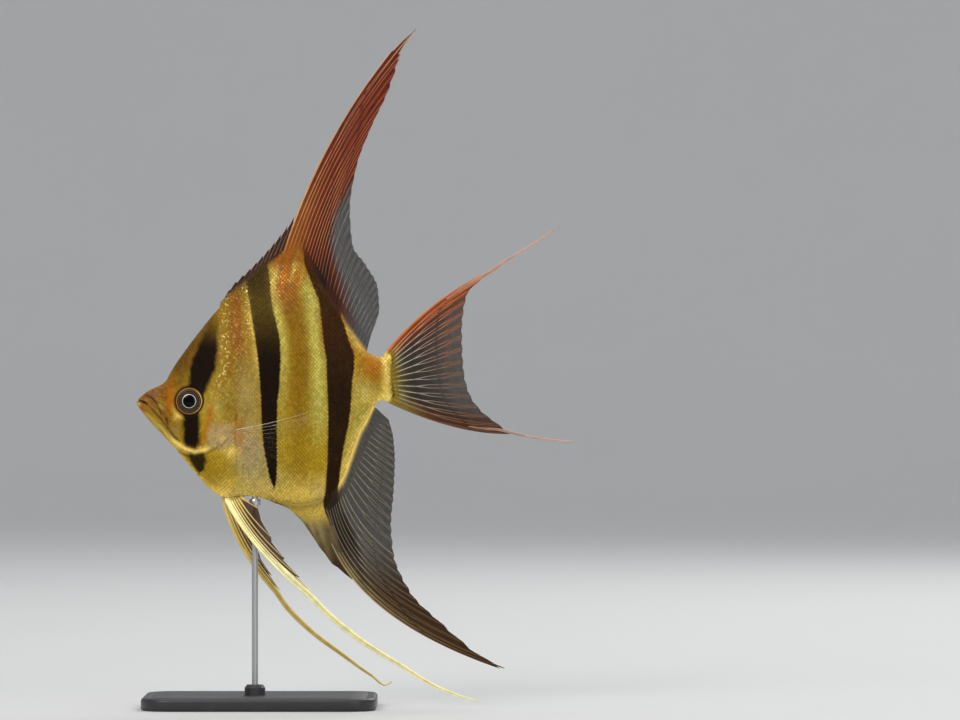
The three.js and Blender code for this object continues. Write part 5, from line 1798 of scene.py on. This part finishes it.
class ANGELFISH_OT_anal_fin(bpy.types.Operator):
    """Makes the anal fin: its spines, its long lobe and its smoky rear"""

    bl_idname = "angelfish.anal_fin"
    bl_label = "Anal Fin"

    def execute(self, context):
        materials = fin_finishes("anal")
        tall = line_through([(0, 5), (0.08, 3), (0.16, -2), (1, -2)])
        fleshy_to = line_through([(0, 9), (0.08, 6), (0.25, 4), (0.6, 3), (1, 2.2)])
        spiny_tall = line_through([(0, 2), (0.4, 6), (0.8, 9.5), (1, 10.5)])

        def bar(at):
            return smooth(-1.5, 2.5, inside_bar(at.x, at.z, REAR_BAR)) * smooth(64, 84, at.z)

        def flesh(at, first):
            return 1 - smooth(0.3, 1.3, at.reach / fleshy_to(at.place / gaps * (1 - ANAL_LOBE) + first))

        def web_paint(at, first):
            low = smooth(84, 45, at.z)
            front = 0 if first else hump(at.place, 1.8) * smooth(26, 72, at.z)
            return {"red": 0.8 * low, "dark": 0.6 * bar(at), "pale": 0.75 * front * (1 - 0.5 * bar(at)),
                    "solid": 0.62 + 0.35 * low + 0.4 * bar(at) + front, "flesh": flesh(at, first)}

        def ray_paint(at, first):
            low = smooth(84, 45, at.z)
            front = 0 if first else hump(at.place, 2.4)
            bright = front * smooth(20, 56, at.z) * (1 - 0.95 * smooth(60, 81, at.z))
            return {"red": 0.9 * low, "dark": 0.55 * bar(at), "pale": 0.75 * bright + 0.12 * (1 - low),
                    "solid": 0.85 + 0.2 * low + 0.3 * bar(at) + front, "flesh": flesh(at, first)}

        def spiny_web(at):
            flesh = 1 - smooth(0.5, 1.6, at.reach / spiny_tall(at.place / 6))
            rear = smooth(4.6, 5.6, at.place)
            pale = 0.8 - 0.55 * smooth(0.3, 1.0, at.v) - 0.25 * rear
            return {"red": 0.8, "dark": 0.6 * bar(at), "pale": pale,
                    "flesh": flesh * (1 - 0.6 * rear * smooth(0.2, 0.5, at.v))}

        def spiny_rays(at):
            return {"red": 0.5, "dark": 0.6 * bar(at), "pale": 0.95 - 0.3 * smooth(0.7, 1.0, at.v),
                    "flesh": 0.5 * smooth(12, 2, at.reach)}

        spiny = ray_fan(fin_root(belly_z, -43.6, -16.0, 0.9), SPINY_ANAL)
        soft = ray_fan(fin_root(belly_z, -16.3, 8.6, 1.0), SOFT_ANAL)
        thick, ray, _, swell = fin_sizes()
        spiny_thick, gaps = (1.1, 0.45), 16
        make_fin("anal_spiny", "anal_fin_spines", spiny, (0, 1), 6, 36, STILL, materials,
                 (spiny_web, spiny_rays), spiny_thick, ray * np.array([1.5, 1, 1, 0.7]), 0.0, scallop=0.05,
                 splits=None, swell=swell)
        make_lobe_and_rear("anal", ("fin_smoky", "fin_smoky"), soft, ANAL_LOBE, ANAL_MEET, (10, gaps),
                           ANAL_SWAY, materials, (web_paint, ray_paint), 1.6)
        make_sheaths((
            ("anal_spiny", spiny, spiny_tall, STILL, spiny_thick, swell),
            ("anal_soft", soft, tall, ANAL_SWAY, thick, swell),
        ), 41)
        return {"FINISHED"}


class ANGELFISH_OT_tail_fin(bpy.types.Operator):
    """Makes the tail fin and its two streamers"""

    bl_idname = "angelfish.tail_fin"
    bl_label = "Tail Fin"

    def execute(self, context):
        materials = fin_finishes("tail")
        streamer = ray_finish("tail_streamers", TAIL_STREAMER_COLOURS)

        gaps = 15

        def top(at):
            return hump(at.place / gaps, 0.17)

        def low_edge(at):
            return hump(1 - at.place / gaps, 0.14)

        def web_paint(at):
            foot = smooth(13 + 16 * low_edge(at), 2, at.reach)
            solid = 0.8 - 0.24 * smooth(0.35, 1, at.v) + 0.4 * top(at) + 0.3 * low_edge(at) + 0.3 * foot
            return {"red": top(at) + 0.3 * low_edge(at) + 0.05,
                    "dark": 0.3 * (1 - top(at)) * smooth(0.05, 0.4, at.v),
                    "pale": 0.9 * foot, "solid": solid, "flesh": smooth(3.2, 0.6, at.reach)}

        def ray_paint(at):
            inner = (1 - top(at)) * (1 - 0.8 * low_edge(at))
            rust = 0.45 * hump(at.place / gaps - 0.4, 0.2) * smooth(0.3, 0.6, at.v)
            red = top(at) + 0.25 * low_edge(at) + 0.4 * smooth(9, 3, at.place) + rust
            return {"red": red, "dark": 0.45 * low_edge(at),
                    "pale": 0.9 * inner * smooth(2, 7, at.reach) * smooth(0.9, 0.15, at.v),
                    "solid": 1.0 - 0.15 * smooth(0.4, 1, at.v) * inner, "flesh": smooth(3.6, 1.0, at.reach)}

        fan = ray_fan(tail_root, TAIL)
        thick, ray, pleat, _ = fin_sizes()
        make_fin("tail", "caudal_fin", fan, (0, 1), gaps, 56, TAIL_SWAY, materials,
                 (web_paint, ray_paint), thick, ray * np.array([1.25, 0.9, 0.7, 0.45]), pleat, scallop=0.015,
                 splits=(0.34, 0.66), leading=1.8, swell=0.35)
        for word, (trail, width, edge, redness) in TAIL_STREAMERS.items():
            def streamer_paint(at):
                return {"red": redness, "pale": 0.3 + 0.5 * smooth(0.1, 0.7, at.v)}

            make_streamer(f"tail_streamer_{word}", f"caudal_filament_{word}", "fin_red", fan, edge,
                          (0.66, 0.8, 0.93), trail, TAIL_SWAY, streamer, streamer_paint, width=width,
                          tip_width=0.7, thick=0.7, tip_thick=0.5, count=60, sides=10, held=1.6)
        return {"FINISHED"}


class ANGELFISH_OT_pelvic_fins(bpy.types.Operator):
    """Makes the two pelvic fins and their long filaments"""

    bl_idname = "angelfish.pelvic_fins"
    bl_label = "Pelvic Fins"

    def execute(self, context):
        materials = fin_finishes("pelvic")
        for word, side in SIDES:
            data = PELVIC[word]
            root = data["root"][0]
            # Painted shade: the right fin, on the far side, takes little of the pale colour, so that it is
            # darker than the left one.
            bright = 1.0 if word == "left" else 0.12

            def sway(x, z):
                return side * (PELVIC_ROOT_Y + PELVIC_SPLAY * np.hypot(x - root[0], z - root[1]))

            def web_paint(at):
                rear = smooth(1.2, 2.0, at.place)
                return {"red": 0.95 * rear * smooth(0.06, 0.25, at.v),
                        "dark": 0.4 * rear * smooth(0.1, 0.4, at.v),
                        "pale": bright * (1 - rear) * 0.9 + 0.3 * smooth(0.1, 0, at.v),
                        "solid": 0.97 - 0.25 * rear}

            def ray_paint(at):
                rear = smooth(1.6, 3.2, at.place)
                return {"red": 0.75 * rear * smooth(0.1, 0.5, at.v),
                        "pale": (0.15 + 0.85 * bright) * (1 - 0.75 * rear)}

            def streamer_paint(at):
                return {"red": 0.4 * hump(at.place - 0.5, 0.14) * (1 - smooth(0.3, 0.7, at.v)),
                        "pale": 0.12 + 0.88 * bright + 0.35 * smooth(0.7, 1, at.v)}

            fan = ray_fan(straight_root(*data["root"]), data["rays"])
            make_fin(f"pelvic_{word}", f"pelvic_fin_{word}", fan, (0, 1), 6, 60, sway, materials,
                     (web_paint, ray_paint), (0.8, 0.3), (0.6, 0.5, 0.35, 0.22), 0.12, scallop=0.12,
                     splits=None, leading=1.8)
            make_streamer(f"pelvic_streamer_{word}", f"pelvic_filament_{word}", "fin_pale", fan, 0.12,
                          (0.5, 0.64, 0.78, 0.9), data["trail"], sway, materials[1], streamer_paint,
                          width=data["width"], tip_width=0.9, thick=1.1, tip_thick=0.6, count=120, sides=14,
                          held=2.2)
        return {"FINISHED"}


class ANGELFISH_OT_pectoral_fins(bpy.types.Operator):
    """Makes the two nearly clear pectoral fins"""

    bl_idname = "angelfish.pectoral_fins"
    bl_label = "Pectoral Fins"

    def execute(self, context):
        materials = fin_finishes("pectoral", 0.1)

        def web_paint(at):
            return {"pale": 0.2, "solid": 0.08 * smooth(0.1, 0, at.v)}

        def ray_paint(at):
            solid = 0.03 + 0.15 * hump(at.place, 2.4) + 0.1 * smooth(0.16, 0, at.v)
            return {"pale": 0.7 * hump(at.place, 2.2), "solid": solid}

        root_x = PECTORAL_ROOT[0][0]
        flank = float(half_width(root_x)) + 0.15
        fan = ray_fan(straight_root(*PECTORAL_ROOT), PECTORAL)
        for word, side in SIDES:
            def sway(x, z):
                return side * (flank + 0.24 * np.maximum(0, x - root_x - 0.8))

            make_fin(f"pectoral_{word}", f"pectoral_fin_{word}", fan, (0, 1), 10, 40, sway,
                     materials, (web_paint, ray_paint), (0.3, 0.1), (0.2, 0.12, 0.08, 0.05), 0.05,
                     leading=1.7)
        return {"FINISHED"}


class ANGELFISH_OT_stand(bpy.types.Operator):
    """Makes the stand's rounded base and finishes its rod, boss and collar"""

    bl_idname = "angelfish.stand"
    bl_label = "Stand"

    def execute(self, context):
        enamel, steel = enamel_finish(), steel_finish()
        points, faces = plinth_shape(fillet=context.scene.angelfish_stand.fillet / MM)
        piece("stand_plinth", points, faces, enamel, ("stand_base",))
        for node, finish in (("stand_boss", enamel), ("stand_rod", steel), ("stand_collar", steel)):
            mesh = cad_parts[node].data
            mesh.materials.clear()
            mesh.materials.append(finish)
        return {"FINISHED"}


class ANGELFISH_OT_stage(bpy.types.Operator):
    """Makes the pale studio floor, the soft lights and the camera"""

    bl_idname = "angelfish.stage"
    bl_label = "Stage"

    def execute(self, context):
        stage = context.scene.angelfish_stage
        low, high = CAD_BOX
        middle = ((low[0] + high[0]) / 2, 0.0, (low[2] + high[2]) / 2)
        points, faces = studio_shape()
        mesh = bpy.data.meshes.new("studio_floor")
        mesh.from_pydata(points, [], [[c for c in face if c >= 0] for face in faces.tolist()])
        mesh.polygons.foreach_set("use_smooth", np.ones(len(mesh.polygons), bool))
        floor = bpy.data.objects.new("studio_floor", mesh)
        context.scene.collection.objects.link(floor)
        made, shader, w = new_material("studio_paint")
        cloudy = w.blend(w.noise(3, 2), rgba(stage.floor), rgba([c * 0.97 for c in stage.floor]))
        w.join(cloudy, shader["Base Color"])
        shader["Roughness"].default_value = 0.7
        mesh.materials.append(made)
        power = stage.key_power
        soft_light("key_light", (-1.1, -1.9, 1.5), middle, 1.4, power, (1.0, 0.98, 0.95))
        soft_light("fill_light", (1.5, -2.1, 0.9), middle, 1.6, power * 0.45, (0.96, 0.98, 1.0))
        soft_light("top_light", (0.1, 0.15, 2.0), middle, 1.2, power * 0.22)
        soft_light("rim_light", (0.9, 1.6, 1.4), middle, 1.2, power * 0.5)
        world = bpy.data.worlds.new("studio_air")
        world.use_nodes = True
        air = world.node_tree.nodes["Background"].inputs
        air["Color"].default_value = (0.93, 0.95, 1.0, 1)
        air["Strength"].default_value = stage.sky
        context.scene.world = world
        context.scene.view_settings.view_transform = "Standard"
        camera = bpy.data.cameras.new("camera")
        camera.sensor_width = SENSOR
        camera.lens = SENSOR * CAMERA_AWAY / VIEW_WIDTH
        camera.clip_end = 30
        eye = bpy.data.objects.new("camera", camera)
        eye.location = (high[0] - FROM_REAR, -CAMERA_AWAY, high[2] - FROM_TOP)
        eye.rotation_euler = (math.pi / 2, 0, 0)
        context.scene.collection.objects.link(eye)
        context.scene.camera = eye
        return {"FINISHED"}


PIECES = (
    ANGELFISH_OT_stage, ANGELFISH_OT_stand, ANGELFISH_OT_skin, ANGELFISH_OT_scales, ANGELFISH_OT_eyes,
    ANGELFISH_OT_dorsal_fin, ANGELFISH_OT_anal_fin, ANGELFISH_OT_tail_fin, ANGELFISH_OT_pelvic_fins,
    ANGELFISH_OT_pectoral_fins,
)
SETTINGS = {
    "angelfish_body": AngelfishBody,
    "angelfish_fins": AngelfishFins,
    "angelfish_colours": AngelfishColours,
    "angelfish_stand": AngelfishStand,
    "angelfish_stage": AngelfishStage,
}


class ANGELFISH_PT_panel(bpy.types.Panel):
    """Lists the angelfish's settings and pieces"""

    bl_idname = "ANGELFISH_PT_panel"
    bl_label = "Freshwater Angelfish"
    bl_space_type = "VIEW_3D"
    bl_region_type = "UI"
    bl_category = "Angelfish"

    def draw(self, context):
        for key, kind in SETTINGS.items():
            box = self.layout.box()
            for name in kind.__annotations__:
                box.prop(getattr(context.scene, key), name)
        for operator in PIECES:
            self.layout.operator(operator.bl_idname)


def register():
    for kind in (*SETTINGS.values(), *PIECES, ANGELFISH_PT_panel):
        bpy.utils.register_class(kind)
    for key, kind in SETTINGS.items():
        setattr(bpy.types.Scene, key, PointerProperty(type=kind))


def unregister():
    for key in SETTINGS:
        delattr(bpy.types.Scene, key)
    for kind in (ANGELFISH_PT_panel, *reversed(PIECES), *reversed(tuple(SETTINGS.values()))):
        bpy.utils.unregister_class(kind)


def main():
    register()
    for operator in PIECES:
        getattr(bpy.ops.angelfish, operator.bl_idname.split(".")[1])()


if __name__ == "__main__":
    main()
